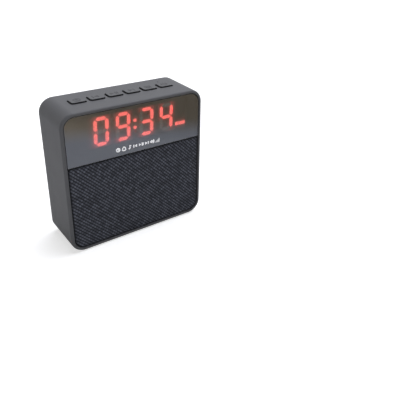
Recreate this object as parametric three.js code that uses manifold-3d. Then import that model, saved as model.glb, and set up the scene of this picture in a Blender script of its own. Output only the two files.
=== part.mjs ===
// Alarm clock with a built-in loudspeaker: a deep case, a smoked lens over a cloth grille, six keys on top
// and a plate of sockets at the rear. Each piece is a closed solid of its own.
// Millimetres. +X is right seen from the front, +Y is to the rear and +Z is up.
// The origin lies under the middle of the case, on the surface that the feet stand on.
import * as THREE from "three";
import { mergeVertices } from "three/addons/utils/BufferGeometryUtils.js";
import Module from "manifold-3d";

const wasm = await Module();
wasm.setup();

// Clearances
const SEAT = 0.05; // between two faces that rest on each other
const FIT = 0.3; // round a piece that is set into an opening
const SLIDE = 0.35; // round a piece that travels in a hole
const BURIED = 0.5; // how far a joined feature reaches into the wall that carries it

// Fineness of round shapes
const FACET_DENSITY = 2.2; // facets in a quarter round of 1 mm radius, growing with the root of the radius
const LEAST_FACETS = 2;
const EDGE_STEPS = 3; // facets across a rounded edge
const SPEAKER_SIDES = 28; // facets round a turned piece of the loudspeaker

// Case
const CASE_WIDTH = 106;
const CASE_HEIGHT = 102.4;
const CASE_DEPTH = 38;
const CORNER_RADIUS = 10;
const FRONT_EDGE_RADIUS = 1.6;
const REAR_EDGE_RADIUS = 2.6;
const SIDE_WALL = 2.2;
const REAR_WALL = 2.4;

// Feet
const FOOT_WIDTH = 12;
const FOOT_LENGTH = 26;
const FOOT_THICKNESS = 1.4;
const FOOT_PROUD = 0.6;
const FOOT_INSET = 11; // from the side of the case to the outer edge of a foot
const FOOT_CORNER = 3;

// Front pieces
const FACE_RECESS = 0.4; // how far the lens and the cloth lie behind the rim of the case
const LENS_THICKNESS = 2;
const LENS_EDGE_RADIUS = 0.4;
const LENS_LOW_CORNER = 0.8;
const LENS_OPENING_HEIGHT = 35.0; // share of the front opening above the split
const GRILLE_TOP_CORNER = 2;
const CLOTH_THICKNESS = 0.6;
const CLOTH_EDGE_RADIUS = 0.5;
const SLOT_WIDTH = 3.2; // openings of the grille frame in front of the cone
const SLOT_PITCH = 5.4;
const SLOT_FIELD_INSET = 0.5; // from the edge of the sound hole
const BAFFLE_THICKNESS = 2.4;

// Screws that hold the baffle to bosses in the case, and screws of the main board
const BOSS_RADIUS = 3.5;
const BOSS_INSET = 5.8; // from the inside of the walls to the middle of a boss
const BOSS_LENGTH = 11;
const GUSSET_THICKNESS = 2.4; // web between a boss and the side wall
const SCREW_LENGTH = 8;
const SCREW_RADIUS = 1.2;
const SCREW_HEAD_RADIUS = 2.3;
const SCREW_HEAD_HEIGHT = 1.1;
const SCREW_PLAY = 0.1; // round a screw's shank
const BOARD_SCREW_LENGTH = 4.5;
const BOARD_SCREW_RADIUS = 0.9;
const BOARD_SCREW_HEAD_RADIUS = 1.8;
const BOARD_SCREW_HEAD_HEIGHT = 1.2;

// Keys and the tact switches under them
const KEY_COUNT = 6;
const KEY_GAP = 3.2; // between two keys
const KEY_ROW_MARGIN = 12.8; // from the inside of the side wall to the outermost key
const KEY_LENGTH = 8.4;
const KEY_ROW_BACK = 0.6; // middle of the row behind the middle of the case
const KEY_PROUD = 1;
const KEY_CORNER = 1.6;
const KEY_EDGE_RADIUS = 0.4;
const KEY_FLANGE = 0.8; // how far the flange stands out round a key
const KEY_FLANGE_THICKNESS = 0.8;
const KEY_STEM_RADIUS = 1.6;
const TACT_SIZE = 6;
const TACT_HEIGHT = 3.5;
const PLUNGER_RADIUS = 1.75;
const PLUNGER_PROUD = 1.5;
const PLUNGER_SUNK = 1; // length of a plunger inside its switch
const PLUNGER_WELL = 2; // depth of the hole that it travels in
const PLUNGER_PLAY = 0.12;

// Port plate
const PLATE_WIDTH = 63;
const PLATE_HEIGHT = 14.4;
const PLATE_X = 0.5;
const PLATE_DROP = 3.6; // from the top of the case to the top of the plate
const PLATE_RECESS = 0.3;
const PLATE_GAP = 0.4; // open groove round the plate
const PLATE_CORNER = 0.8;
const PLATE_FLANGE = 1.4;
const PLATE_FLANGE_THICKNESS = 1.2;

// Main board
const BOARD_RISE = 7.2; // top of the board above the lower edge of the port plate
const BOARD_THICKNESS = 1.6;
const BOARD_SIDE_GAP = 0.5; // from the bosses of the case
const LEDGE_OVERLAP = 4; // how far the ledges of the case reach under the board
const LEDGE_THICKNESS = 4.2;
const LEDGE_FRONT = 3; // behind the middle of the case
const LEDGE_LENGTH = 9;

// Sockets, card slot, switch, light and microphone
const SOCKET_RECESS = 0.25; // mouths of the sockets behind the face of the port plate
const LARGE_SOCKET_X = -15.85;
const LARGE_SOCKET_WIDTH = 13.2;
const LARGE_SOCKET_HEIGHT = 5.8;
const LARGE_SOCKET_DEPTH = 10.5;
const LARGE_TONGUE_THICKNESS = 1.9;
const LARGE_TONGUE_SIDE_GAP = 0.7;
const LARGE_TONGUE_SETBACK = 1.2;
const SMALL_SOCKET_X = -0.5;
const SMALL_SOCKET_WIDTH = 7.6;
const SMALL_SOCKET_HEIGHT = 2.8;
const SMALL_SOCKET_DEPTH = 5.6;
const SMALL_TONGUE_THICKNESS = 0.6;
const SMALL_TONGUE_SIDE_GAP = 1.5;
const SMALL_TONGUE_SETBACK = 0.6;
const SOCKET_SHEET = 0.35; // metal of the socket shells
const SOCKET_CORNER = 0.7;
const SOCKET_BASE = 2; // depth of the plastic at the closed end of a socket
const TONGUE_PLAY = 0.06; // between the plastic and the shell round it
const JACK_X = 12.2;
const JACK_WIDTH = 6.2;
const JACK_HEIGHT = 5.4;
const JACK_DEPTH = 9;
const JACK_NOSE_RADIUS = 2.6;
const JACK_BORE_RADIUS = 1.8;
const JACK_BORE_DEPTH = 11.4;
const CARD_WIDTH = 13.8;
const CARD_HEIGHT = 1.85;
const CARD_DEPTH = 14.6;
const CARD_MOUTH_WIDTH = 11.8;
const CARD_MOUTH_HEIGHT = 1.25;
const CARD_MOUTH_DEPTH = 13;
const SWITCH_X = 24.15;
const SWITCH_WIDTH = 8.6;
const SWITCH_HEIGHT = 4.8;
const SWITCH_DEPTH = 3.6;
const SWITCH_TRAVEL = 2;
const SWITCH_WINDOW_HEIGHT = 5.6;
const KNOB_WIDTH = 3.4;
const KNOB_END_GAP = 1.1; // left at each end of the window
const KNOB_PLAY = 0.5; // above and below the knob in its window
const KNOB_RECESS = 0.3; // face of the knob behind the face of the port plate
const KNOB_NECK = 1.6;
const KNOB_NECK_SUNK = 2.4;
const LIGHT_OFFSET = 6; // from the end of the port plate
const LIGHT_RISE = 4.5; // middle of the light above the board
const LIGHT_RADIUS = 1.5;
const LIGHT_LENGTH = 3.2;
const LIGHT_RIM = 0.35;
const LIGHT_HOLE_RADIUS = 1.2;
const LIGHT_LEG = 0.5;
const LIGHT_LEG_PITCH = 2.2;
const MICROPHONE_SETBACK = 8.7; // behind the middle of the row of keys
const MICROPHONE_RADIUS = 2;
const MICROPHONE_HEIGHT = 2.2;
const MICROPHONE_HOLE_RADIUS = 0.55;

// Display
const DISPLAY_RISE = 2.4; // middle of the display above the middle of the lens
const DISPLAY_MARGIN = 6.1; // from the display to the edges of the lens opening
const DISPLAY_DEPTH = 6.4;
const DISPLAY_SETBACK = 1.5; // from the lens to the lit faces
const DISPLAY_PLAY = 0.4; // round the display in the window of the baffle
const SEGMENT_PLATE = 0.6;
const SEGMENT_RAISE = 0.4;
const DIGIT_MARGIN = 1.3; // from the digits to the edges of the display
const DIGIT_SPACE = 5.2; // between two digits
const COLON_SPACE = 7.3; // between the hours and the minutes
const MARK_SPACE = 11.0; // at each end of the row, beside the digits
const SEGMENT_WIDTH = 2.2;
const SEGMENT_GAP = 0.25;
const DIGIT_SLANT = 0.035; // sideways lean of a digit for each millimetre of height
const COLON_HALF_SPREAD = 2.6;
const MARK_LENGTH = 8.2;
const MARK_END_GAP = 0.6; // from the mark to the edge of the plate
const MARK_RISE = 3; // middle of the mark above the foot of the digits
const DISPLAY_BOARD_THICKNESS = 1.2;
const POST_RADIUS = 1.1; // posts of the baffle that carry the display board
const POST_GAP = 0.15; // between a post and the display
const POST_INSET = 1.2; // from the middle of a post to the edge of the board
const POST_SIDE_INSET = 7;
const PIN_RADIUS = 0.6;
const PIN_PLAY = 0.15;
const PIN_PROUD = 0.3;
const HEADER_WIDTH = 20;
const HEADER_DEPTH = 1.8;
const HEADER_HEIGHT = 2.5;

// Loudspeaker, measured outwards from its axis and back from the front of its flange
const SPEAKER_RADIUS = 22.5;
const FLANGE_WIDTH = 3.4;
const FLANGE_THICKNESS = 1;
const ROLL_WIDTH = 3.6; // half roll between the flange and the cone
const GASKET_WIDTH = 2;
const GASKET_THICKNESS = 0.8;
const LOCATING_WALL = 1.5;
const LOCATING_HEIGHT = 1.6;
const BASKET_DEPTH = 10.8;
const BASKET_SHEET = 0.9;
const BASKET_FLOOR_RADIUS = 14.2;
const BASKET_FLOOR_BORE = 9;
const BASKET_WINDOWS = 6;
const WINDOW_WIDTH = 8;
const WINDOW_FRONT = 3;
const WINDOW_DEPTH = 5;
const POLE_RADIUS = 5.7;
const COIL_SHEET = 0.4;
const COIL_GAP = 0.35; // on each side of the voice coil
const COIL_LENGTH = 7.6;
const COIL_REACH = 2.2; // how far the coil reaches into the top plate
const TOP_PLATE_RADIUS = 13.2;
const TOP_PLATE_THICKNESS = 2.5;
const MAGNET_RADIUS = 14.8;
const MAGNET_BORE = 9.5;
const MAGNET_THICKNESS = 6;
const YOKE_RADIUS = 13.8;
const YOKE_THICKNESS = 2.4;
const CONE_DEPTH = 5;
const CONE_SHEET = 0.5;
const CONE_SET = 0.4; // front edge of the cone behind the front of the flange
const DUST_CAP_RADIUS = 7.2;
const DUST_CAP_HEIGHT = 2.6;
const SURROUND_SHEET = 0.4;
const ROLL_STEPS = 6;
const SPIDER_INSET = 1.3; // from the edge of the basket's floor
const SPIDER_SHEET = 0.4;
const SPIDER_WAVES = 2;
const SPIDER_WAVE_STEPS = 4;
const SPIDER_WAVE_HEIGHT = 0.45;
const SPIDER_RIM = 1.6;
const SPIDER_LIFT = 1.1; // middle of the waves in front of the rim
const TERMINAL_X = 6.5;
const TERMINAL_WIDTH = 6;
const TERMINAL_LENGTH = 4;
const TERMINAL_SHEET = 1.2;
const TERMINAL_INSET = 2.6; // from the edge of the flange

// Cell and leads
const CELL_RADIUS = 7.1;
const CELL_LENGTH = 50;
const CELL_DROP = 0.8; // from the flange of the port plate to the saddles
const CELL_STANDOFF = 1.8; // from the rear wall
const CELL_CAP_RADIUS = 3;
const CELL_CAP_HEIGHT = 0.8;
const SADDLE_X = 16;
const SADDLE_WIDTH = 3;
const SADDLE_WALL = 1.8;
const SADDLE_GRIP = 2; // how far the saddles reach past the middle of the cell
const LEAD_RADIUS = 0.9;
const LEAD_BOW = 4; // width of the bends of the leads
const LEAD_SETBACK = 1.45; // leads behind the display board
const LEAD_SIDES = 8;
const LEAD_STEPS = 20;

// Places worked out from the sizes above
const HALF_WIDTH = CASE_WIDTH / 2;
const FRONT = -CASE_DEPTH / 2;
const REAR = CASE_DEPTH / 2;
const BOTTOM = FOOT_PROUD;
const TOP = BOTTOM + CASE_HEIGHT;
const INNER_HALF = HALF_WIDTH - SIDE_WALL;
const INNER_BOTTOM = BOTTOM + SIDE_WALL;
const INNER_TOP = TOP - SIDE_WALL;
const INNER_REAR = REAR - REAR_WALL;
const INNER_CORNER = CORNER_RADIUS - SIDE_WALL;
const FACE = FRONT + FACE_RECESS;
const LENS_REAR = FACE + LENS_THICKNESS;
const BAFFLE_FRONT = LENS_REAR + SEAT;
const BAFFLE_REAR = BAFFLE_FRONT + BAFFLE_THICKNESS;
const SPLIT = INNER_TOP - LENS_OPENING_HEIGHT;
const LENS_LOW = SPLIT + FIT / 2;
const LENS_HIGH = INNER_TOP - FIT;
const FACE_HALF = INNER_HALF - FIT;
const FACE_CORNER = INNER_CORNER - FIT;
const GRILLE_LOW = INNER_BOTTOM + FIT;
const GRILLE_HIGH = SPLIT - FIT / 2;
const BOSS_X = INNER_HALF - BOSS_INSET;
const BOSS_Z = [INNER_BOTTOM + BOSS_INSET, INNER_TOP - BOSS_INSET];
const PLATE_HIGH = TOP - PLATE_DROP;
const PLATE_LOW = PLATE_HIGH - PLATE_HEIGHT;
const PLATE_FACE = REAR - PLATE_RECESS;
const LIGHT_X = PLATE_X + PLATE_WIDTH / 2 + LIGHT_OFFSET;
const FLANGE_REAR = INNER_REAR - SEAT;
const FLANGE_FRONT = FLANGE_REAR - PLATE_FLANGE_THICKNESS;
const MOUTH = PLATE_FACE - SOCKET_RECESS;
const DISPLAY_Z = (LENS_LOW + LENS_HIGH) / 2 + DISPLAY_RISE;
const DISPLAY_HEIGHT = LENS_OPENING_HEIGHT - 2 * DISPLAY_MARGIN;
const DISPLAY_HALF = BOSS_X - BOSS_RADIUS - BOARD_SIDE_GAP;
const LIT_FACE = LENS_REAR + DISPLAY_SETBACK;
const PLATE_OF_SEGMENTS_REAR = LIT_FACE + SEGMENT_RAISE + SEGMENT_PLATE;
const DISPLAY_BLOCK_FRONT = PLATE_OF_SEGMENTS_REAR + SEAT;
const DISPLAY_BLOCK_REAR = DISPLAY_BLOCK_FRONT + DISPLAY_DEPTH;
const DISPLAY_BOARD_FRONT = DISPLAY_BLOCK_REAR + SEAT;
const DISPLAY_BOARD_REAR = DISPLAY_BOARD_FRONT + DISPLAY_BOARD_THICKNESS;
const POST_RISE = DISPLAY_HEIGHT / 2 + POST_GAP + POST_RADIUS;
const DISPLAY_BOARD_HALF_HEIGHT = POST_RISE + POST_INSET;
const DIGIT_HEIGHT = DISPLAY_HEIGHT - 2 * DIGIT_MARGIN;
const BOARD_TOP = PLATE_LOW + BOARD_RISE;
const BOARD_BOTTOM = BOARD_TOP - BOARD_THICKNESS;
const BOARD_HALF = BOSS_X - BOSS_RADIUS - BOARD_SIDE_GAP;
const BOARD_FRONT = DISPLAY_BOARD_REAR + FIT;
const BOARD_REAR = FLANGE_FRONT - FIT;
const BOARD_SCREW_X = BOARD_HALF - LEDGE_OVERLAP / 2;
const BOARD_SCREW_Y = LEDGE_FRONT + LEDGE_LENGTH / 2;
const ON_BOARD = BOARD_TOP + SEAT;
const UNDER_BOARD = BOARD_BOTTOM - SEAT;
const KEY_ROW_Y = (FRONT + REAR) / 2 + KEY_ROW_BACK;
const KEY_ROW_HALF = INNER_HALF - KEY_ROW_MARGIN;
const KEY_WIDTH = (2 * KEY_ROW_HALF - (KEY_COUNT - 1) * KEY_GAP) / KEY_COUNT;
const KEY_PITCH = KEY_WIDTH + KEY_GAP;
const KEY_XS = Array.from({ length: KEY_COUNT }, (unused, i) => KEY_WIDTH / 2 - KEY_ROW_HALF + i * KEY_PITCH);
const MICROPHONE_X = KEY_XS[KEY_COUNT - 1];
const MICROPHONE_Y = KEY_ROW_Y + MICROPHONE_SETBACK;
const PLUNGER_TOP = ON_BOARD + TACT_HEIGHT + PLUNGER_PROUD;
const SPEAKER_Z = (INNER_BOTTOM + SPLIT) / 2;
const FLANGE_FACE = BAFFLE_REAR + GASKET_THICKNESS + 2 * SEAT;
const FLANGE_INNER_RADIUS = SPEAKER_RADIUS - FLANGE_WIDTH;
const SOUND_HOLE_RADIUS = FLANGE_INNER_RADIUS + BURIED;
const SLOT_FIELD_RADIUS = SOUND_HOLE_RADIUS - SLOT_FIELD_INSET;
const CONE_RADIUS = FLANGE_INNER_RADIUS - ROLL_WIDTH;
const SPIDER_RADIUS = BASKET_FLOOR_RADIUS - SPIDER_INSET;
const TERMINAL_RADIUS = SPEAKER_RADIUS - TERMINAL_INSET;
const COIL_INNER = POLE_RADIUS + COIL_GAP;
const COIL_OUTER = COIL_INNER + COIL_SHEET;
const TOP_PLATE_FRONT = FLANGE_FACE + BASKET_DEPTH + SEAT;
const MAGNET_FRONT = TOP_PLATE_FRONT + TOP_PLATE_THICKNESS + SEAT;
const YOKE_FRONT = MAGNET_FRONT + MAGNET_THICKNESS + SEAT;
const CONE_EDGE = FLANGE_FACE + CONE_SET;
const CELL_Y = INNER_REAR - CELL_STANDOFF - CELL_RADIUS;
const SADDLE_HALF = CELL_RADIUS + FIT + SADDLE_WALL;
const CELL_Z = PLATE_LOW - PLATE_FLANGE - CELL_DROP - SADDLE_HALF;

// Finishes of the pieces
const FINISHES = {
  softTouch: { color: 0x4f5055, roughness: 0.6, metalness: 0 },
  blackPlastic: { color: 0x1c1d20, roughness: 0.5, metalness: 0 },
  smokedLens: { color: 0x0c0c0e, roughness: 0.05, metalness: 0 },
  cloth: { color: 0x2c2d33, roughness: 0.9, metalness: 0 },
  rubber: { color: 0x202123, roughness: 0.85, metalness: 0 },
  steel: { color: 0xb4b6b8, roughness: 0.3, metalness: 1 },
  whitePlastic: { color: 0xe6e4dc, roughness: 0.5, metalness: 0 },
  greyKnob: { color: 0x8b8c92, roughness: 0.5, metalness: 0 },
  circuitBoard: { color: 0x1f5a34, roughness: 0.5, metalness: 0 },
  segments: { color: 0xe0453a, roughness: 0.4, metalness: 0 },
  ferrite: { color: 0x2a2a2c, roughness: 0.8, metalness: 0 },
  paper: { color: 0x252527, roughness: 0.9, metalness: 0 },
  copper: { color: 0xa8602f, roughness: 0.4, metalness: 1 },
  spider: { color: 0xb98a44, roughness: 0.9, metalness: 0 },
  cellWrap: { color: 0x2a62a8, roughness: 0.4, metalness: 0 },
  redLead: { color: 0xa02424, roughness: 0.5, metalness: 0 },
  lightLens: { color: 0xe9e6e2, roughness: 0.2, metalness: 0 },
};

// One named piece with its finish.
function piece(name, geometry, finish) {
  const mesh = new THREE.Mesh(geometry, new THREE.MeshStandardMaterial(FINISHES[finish]));
  mesh.name = name;
  return mesh;
}

// Pieces that belong together.
function assembly(...meshes) {
  return new THREE.Group().add(...meshes);
}

// Closed mesh as a solid that can be joined and cut. Triangles that collapse on an axis are left out.
function solidOf(geometry) {
  const bare = new THREE.BufferGeometry();
  bare.setAttribute("position", geometry.getAttribute("position"));
  bare.setIndex(geometry.index);
  const merged = mergeVertices(bare, 1e-4);
  const triangles = [];
  const corners = merged.index.array;
  for (let i = 0; i < corners.length; i += 3) {
    const [a, b, c] = corners.slice(i, i + 3);
    if (a !== b && b !== c && c !== a) triangles.push(a, b, c);
  }
  const vertProperties = merged.getAttribute("position").array;
  return new wasm.Manifold(new wasm.Mesh({ numProp: 3, vertProperties, triVerts: new Uint32Array(triangles) }));
}

function geometryOf(solid) {
  const mesh = solid.getMesh();
  const geometry = new THREE.BufferGeometry();
  geometry.setAttribute("position", new THREE.BufferAttribute(mesh.vertProperties, 3));
  return geometry.setIndex(new THREE.BufferAttribute(mesh.triVerts, 1));
}

function joined(...geometries) {
  return geometryOf(geometries.map(solidOf).reduce((whole, next) => whole.add(next)));
}

function cut(geometry, tools) {
  return geometryOf(tools.map(solidOf).reduce((whole, tool) => whole.subtract(tool), solidOf(geometry)));
}

// Number of facets that a quarter round of this radius is made of.
function facets(radius) {
  return Math.max(LEAST_FACETS, Math.round(FACET_DENSITY * Math.sqrt(radius)));
}

// Points of a quarter round that starts at the given number of quarter turns.
function quarterRound(x, y, radius, turns, steps) {
  return Array.from({ length: steps + 1 }, (unused, i) => {
    const angle = (turns + i / steps) * (Math.PI / 2);
    return new THREE.Vector2(x + radius * Math.cos(angle), y + radius * Math.sin(angle));
  });
}

// Points of a rounded rectangle, with one radius for its low corners and one for its high corners.
function roundedPoints(outline, inset) {
  const left = outline.left + inset;
  const right = outline.right - inset;
  const low = outline.low + inset;
  const high = outline.high - inset;
  const lowRadius = outline.lowRadius - inset;
  const highRadius = outline.highRadius - inset;
  const lowSteps = facets(outline.lowRadius);
  const highSteps = facets(outline.highRadius);
  return [
    ...quarterRound(right - lowRadius, low + lowRadius, lowRadius, -1, lowSteps),
    ...quarterRound(right - highRadius, high - highRadius, highRadius, 0, highSteps),
    ...quarterRound(left + highRadius, high - highRadius, highRadius, 1, highSteps),
    ...quarterRound(left + lowRadius, low + lowRadius, lowRadius, 2, lowSteps),
  ];
}

function rounded(left, right, low, high, lowRadius, highRadius = lowRadius) {
  return new THREE.Shape(roundedPoints({ left, right, low, high, lowRadius, highRadius }, 0));
}

function disc(x, y, radius) {
  const steps = facets(radius);
  return new THREE.Shape([0, 1, 2, 3].flatMap((turn) => quarterRound(x, y, radius, turn, steps).slice(1)));
}

function rectangle(left, right, low, high) {
  const corners = [[left, low], [right, low], [right, high], [left, high]];
  return new THREE.Shape(corners.map(([x, y]) => new THREE.Vector2(x, y)));
}

// Shape drawn in X and Z, as thick as the way from front to rear.
function slabY(shape, front, rear) {
  const options = { depth: rear - front, bevelEnabled: false };
  return new THREE.ExtrudeGeometry(shape, options).rotateX(Math.PI / 2).translate(0, rear, 0);
}

// Shape drawn in X and Y, as tall as the way from bottom to top.
function slabZ(shape, bottom, top) {
  const options = { depth: top - bottom, bevelEnabled: false };
  return new THREE.ExtrudeGeometry(shape, options).translate(0, 0, bottom);
}

function box(left, right, front, rear, bottom, top) {
  return new THREE.BoxGeometry(right - left, rear - front, top - bottom)
    .translate((left + right) / 2, (front + rear) / 2, (bottom + top) / 2);
}

// Round bar along X, Y or Z between two places on that axis.
function barX(radius, left, right, y, z) {
  return new THREE.CylinderGeometry(radius, radius, right - left, 4 * facets(radius))
    .rotateZ(Math.PI / 2).translate((left + right) / 2, y, z);
}

function barY(radius, front, rear, x, z) {
  return new THREE.CylinderGeometry(radius, radius, rear - front, 4 * facets(radius))
    .translate(x, (front + rear) / 2, z);
}

function barZ(radius, bottom, top, x, y) {
  return new THREE.CylinderGeometry(radius, radius, top - bottom, 4 * facets(radius))
    .rotateX(Math.PI / 2).translate(x, y, (bottom + top) / 2);
}

// Piece turned about a line along Y. The profile lists radius and Y, and is closed by its first point unless
// it starts and ends on the line.
function turned(profile, x, z, sides) {
  const area = profile.reduce((sum, [r, y], i) => {
    const [nextR, nextY] = profile[(i + 1) % profile.length];
    return sum + r * nextY - nextR * y;
  }, 0);
  const points = profile.map(([r, y]) => new THREE.Vector2(r, y));
  const onLine = profile[0][0] === 0 && profile[profile.length - 1][0] === 0;
  if (!onLine) points.push(points[0].clone());
  if (area < 0) points.reverse();
  return geometryOf(solidOf(new THREE.LatheGeometry(points, sides))).translate(x, 0, z);
}

function washer(inner, outer, front, rear, x, z, sides) {
  return turned([[inner, front], [outer, front], [outer, rear], [inner, rear]], x, z, sides);
}

// Body with a rounded outline whose rings step in and out along an axis, as a moulding with rounded edges
// does. A ring has an inset from the outline and a place along the axis, in rising order.
function lofted(outline, rings, axis) {
  const loops = rings.map(({ inset, at }) => ({ at, points: roundedPoints(outline, inset) }));
  const count = loops[0].points.length;
  const place = axis === "y" ? (p, at) => [p.x, at, p.y] : (p, at) => [p.x, p.y, at];
  const positions = loops.flatMap(({ at, points }) => points.flatMap((p) => place(p, at)));
  const triangles = [];
  for (let ring = 0; ring + 1 < loops.length; ring += 1) {
    for (let i = 0; i < count; i += 1) {
      const a = ring * count + i;
      const b = ring * count + ((i + 1) % count);
      triangles.push([a, b, b + count], [a, b + count, a + count]);
    }
  }
  const last = (loops.length - 1) * count;
  for (const [a, b, c] of THREE.ShapeUtils.triangulateShape(loops[0].points, [])) triangles.push([a, c, b]);
  for (const [a, b, c] of THREE.ShapeUtils.triangulateShape(loops[loops.length - 1].points, [])) {
    triangles.push([last + a, last + b, last + c]);
  }
  if (axis === "y") triangles.forEach((triangle) => triangle.reverse());
  const geometry = new THREE.BufferGeometry();
  geometry.setAttribute("position", new THREE.Float32BufferAttribute(positions, 3));
  return geometry.setIndex(triangles.flat());
}

// Rings of a rounded edge that opens out from a face, and of one that closes in to a face.
function openingEdge(face, radius) {
  return Array.from({ length: EDGE_STEPS + 1 }, (unused, i) => {
    const angle = (i / EDGE_STEPS) * (Math.PI / 2);
    return { inset: radius * (1 - Math.sin(angle)), at: face + radius * (1 - Math.cos(angle)) };
  });
}

function closingEdge(face, radius) {
  return openingEdge(0, radius).map(({ inset, at }) => ({ inset, at: face - at })).reverse();
}

// Tube along a smooth curve through the points.
function tube(points, radius) {
  const path = new THREE.CatmullRomCurve3(points.map((p) => new THREE.Vector3(...p)));
  const section = new THREE.Shape(
    Array.from({ length: LEAD_SIDES }, (unused, i) => {
      const angle = (i / LEAD_SIDES) * 2 * Math.PI;
      return new THREE.Vector2(radius * Math.cos(angle), radius * Math.sin(angle));
    }));
  return new THREE.ExtrudeGeometry(section, { steps: LEAD_STEPS, extrudePath: path, bevelEnabled: false });
}

function bossPlaces() {
  return BOSS_Z.flatMap((z) => [-BOSS_X, BOSS_X].map((x) => ({ x, z })));
}

// Outline of a foot, grown on all sides.
function footShape(side, grow) {
  const outer = HALF_WIDTH - FOOT_INSET + grow;
  const inner = HALF_WIDTH - FOOT_INSET - FOOT_WIDTH - grow;
  const half = FOOT_LENGTH / 2 + grow;
  const [left, right] = side < 0 ? [-outer, -inner] : [inner, outer];
  return rounded(left, right, -half, half, FOOT_CORNER + grow);
}

// Outline of a key at x, grown on all sides.
function keyOutline(x, grow) {
  return {
    left: x - KEY_WIDTH / 2 - grow,
    right: x + KEY_WIDTH / 2 + grow,
    low: KEY_ROW_Y - KEY_LENGTH / 2 - grow,
    high: KEY_ROW_Y + KEY_LENGTH / 2 + grow,
    lowRadius: KEY_CORNER + grow,
    highRadius: KEY_CORNER + grow,
  };
}

function shapeOf({ left, right, low, high, lowRadius, highRadius }) {
  return rounded(left, right, low, high, lowRadius, highRadius);
}

// Outline of the port plate, grown on all sides.
function plateShape(grow) {
  const half = PLATE_WIDTH / 2 + grow;
  return rounded(PLATE_X - half, PLATE_X + half, PLATE_LOW - grow, PLATE_HIGH + grow, PLATE_CORNER + grow);
}

// Rib on the rear wall, hollowed to hold the cell.
function saddle(x) {
  const rib = box(
    x - SADDLE_WIDTH / 2, x + SADDLE_WIDTH / 2, CELL_Y - SADDLE_GRIP, INNER_REAR + BURIED,
    CELL_Z - SADDLE_HALF, CELL_Z + SADDLE_HALF);
  return cut(rib, [barX(CELL_RADIUS + FIT, x - SADDLE_WIDTH, x + SADDLE_WIDTH, CELL_Y, CELL_Z)]);
}

// Shelf on a side wall that carries one end of the main board.
function ledge(side) {
  const inner = BOARD_HALF - LEDGE_OVERLAP;
  const outer = INNER_HALF + BURIED;
  const [left, right] = side < 0 ? [-outer, -inner] : [inner, outer];
  return box(left, right, LEDGE_FRONT, LEDGE_FRONT + LEDGE_LENGTH, UNDER_BOARD - LEDGE_THICKNESS, UNDER_BOARD);
}

// Boss for a screw of the baffle, and the web that joins it to the side wall.
function boss(x, z) {
  const front = BAFFLE_REAR + SEAT;
  const rear = front + BOSS_LENGTH;
  const wall = INNER_HALF + BURIED;
  const [left, right] = x < 0 ? [-wall, x] : [x, wall];
  return [
    barY(BOSS_RADIUS, front, rear, x, z),
    box(left, right, front, rear, z - GUSSET_THICKNESS / 2, z + GUSSET_THICKNESS / 2),
  ];
}

function caseShell() {
  const outline = {
    left: -HALF_WIDTH, right: HALF_WIDTH, low: BOTTOM, high: TOP,
    lowRadius: CORNER_RADIUS, highRadius: CORNER_RADIUS,
  };
  const rings = [...openingEdge(FRONT, FRONT_EDGE_RADIUS), ...closingEdge(REAR, REAR_EDGE_RADIUS)];
  const cavity = slabY(
    rounded(-INNER_HALF, INNER_HALF, INNER_BOTTOM, INNER_TOP, INNER_CORNER), FRONT - BURIED, INNER_REAR);
  const hollow = cut(lofted(outline, rings, "y"), [cavity]);
  const bosses = bossPlaces().flatMap(({ x, z }) => boss(x, z));
  const inside = [...bosses, saddle(-SADDLE_X), saddle(SADDLE_X), ledge(-1), ledge(1)];
  const pilots = bossPlaces().map(
    ({ x, z }) => barY(SCREW_RADIUS + SCREW_PLAY, BAFFLE_REAR, BAFFLE_REAR + SCREW_LENGTH, x, z));
  const pilotLow = UNDER_BOARD - LEDGE_THICKNESS - BURIED;
  const boardPilots = [-BOARD_SCREW_X, BOARD_SCREW_X].map(
    (x) => barZ(BOARD_SCREW_RADIUS + SCREW_PLAY, pilotLow, UNDER_BOARD + BURIED, x, BOARD_SCREW_Y));
  const keyHoles = KEY_XS.map((x) => slabZ(shapeOf(keyOutline(x, SLIDE)), INNER_TOP - BURIED, TOP + BURIED));
  const pockets = [-1, 1].map(
    (side) => slabZ(footShape(side, FIT), BOTTOM - BURIED, BOTTOM + FOOT_THICKNESS - FOOT_PROUD + SEAT));
  const plateHole = slabY(plateShape(PLATE_GAP), INNER_REAR - BURIED, REAR + BURIED);
  const lightHole = barY(
    LIGHT_HOLE_RADIUS, INNER_REAR - BURIED, REAR + BURIED, LIGHT_X, BOARD_TOP + LIGHT_RISE);
  const soundHole = barZ(
    MICROPHONE_HOLE_RADIUS, INNER_TOP - BURIED, TOP + BURIED, MICROPHONE_X, MICROPHONE_Y);
  return cut(joined(hollow, ...inside), [
    ...pilots, ...boardPilots, ...keyHoles, ...pockets, plateHole, lightHole, soundHole,
  ]);
}

function foot(side) {
  return slabZ(footShape(side, 0), 0, FOOT_THICKNESS);
}

// Lens and cloth share an outline that fills the front opening, one above the split and one below it.
function displayLens() {
  const outline = {
    left: -FACE_HALF, right: FACE_HALF, low: LENS_LOW, high: LENS_HIGH,
    lowRadius: LENS_LOW_CORNER, highRadius: FACE_CORNER,
  };
  return lofted(outline, [...openingEdge(FACE, LENS_EDGE_RADIUS), { inset: 0, at: LENS_REAR }], "y");
}

function grilleCloth() {
  const outline = {
    left: -FACE_HALF, right: FACE_HALF, low: GRILLE_LOW, high: GRILLE_HIGH,
    lowRadius: FACE_CORNER, highRadius: GRILLE_TOP_CORNER,
  };
  const rings = [...openingEdge(FACE, CLOTH_EDGE_RADIUS), { inset: 0, at: FACE + CLOTH_THICKNESS }];
  return lofted(outline, rings, "y");
}

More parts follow.
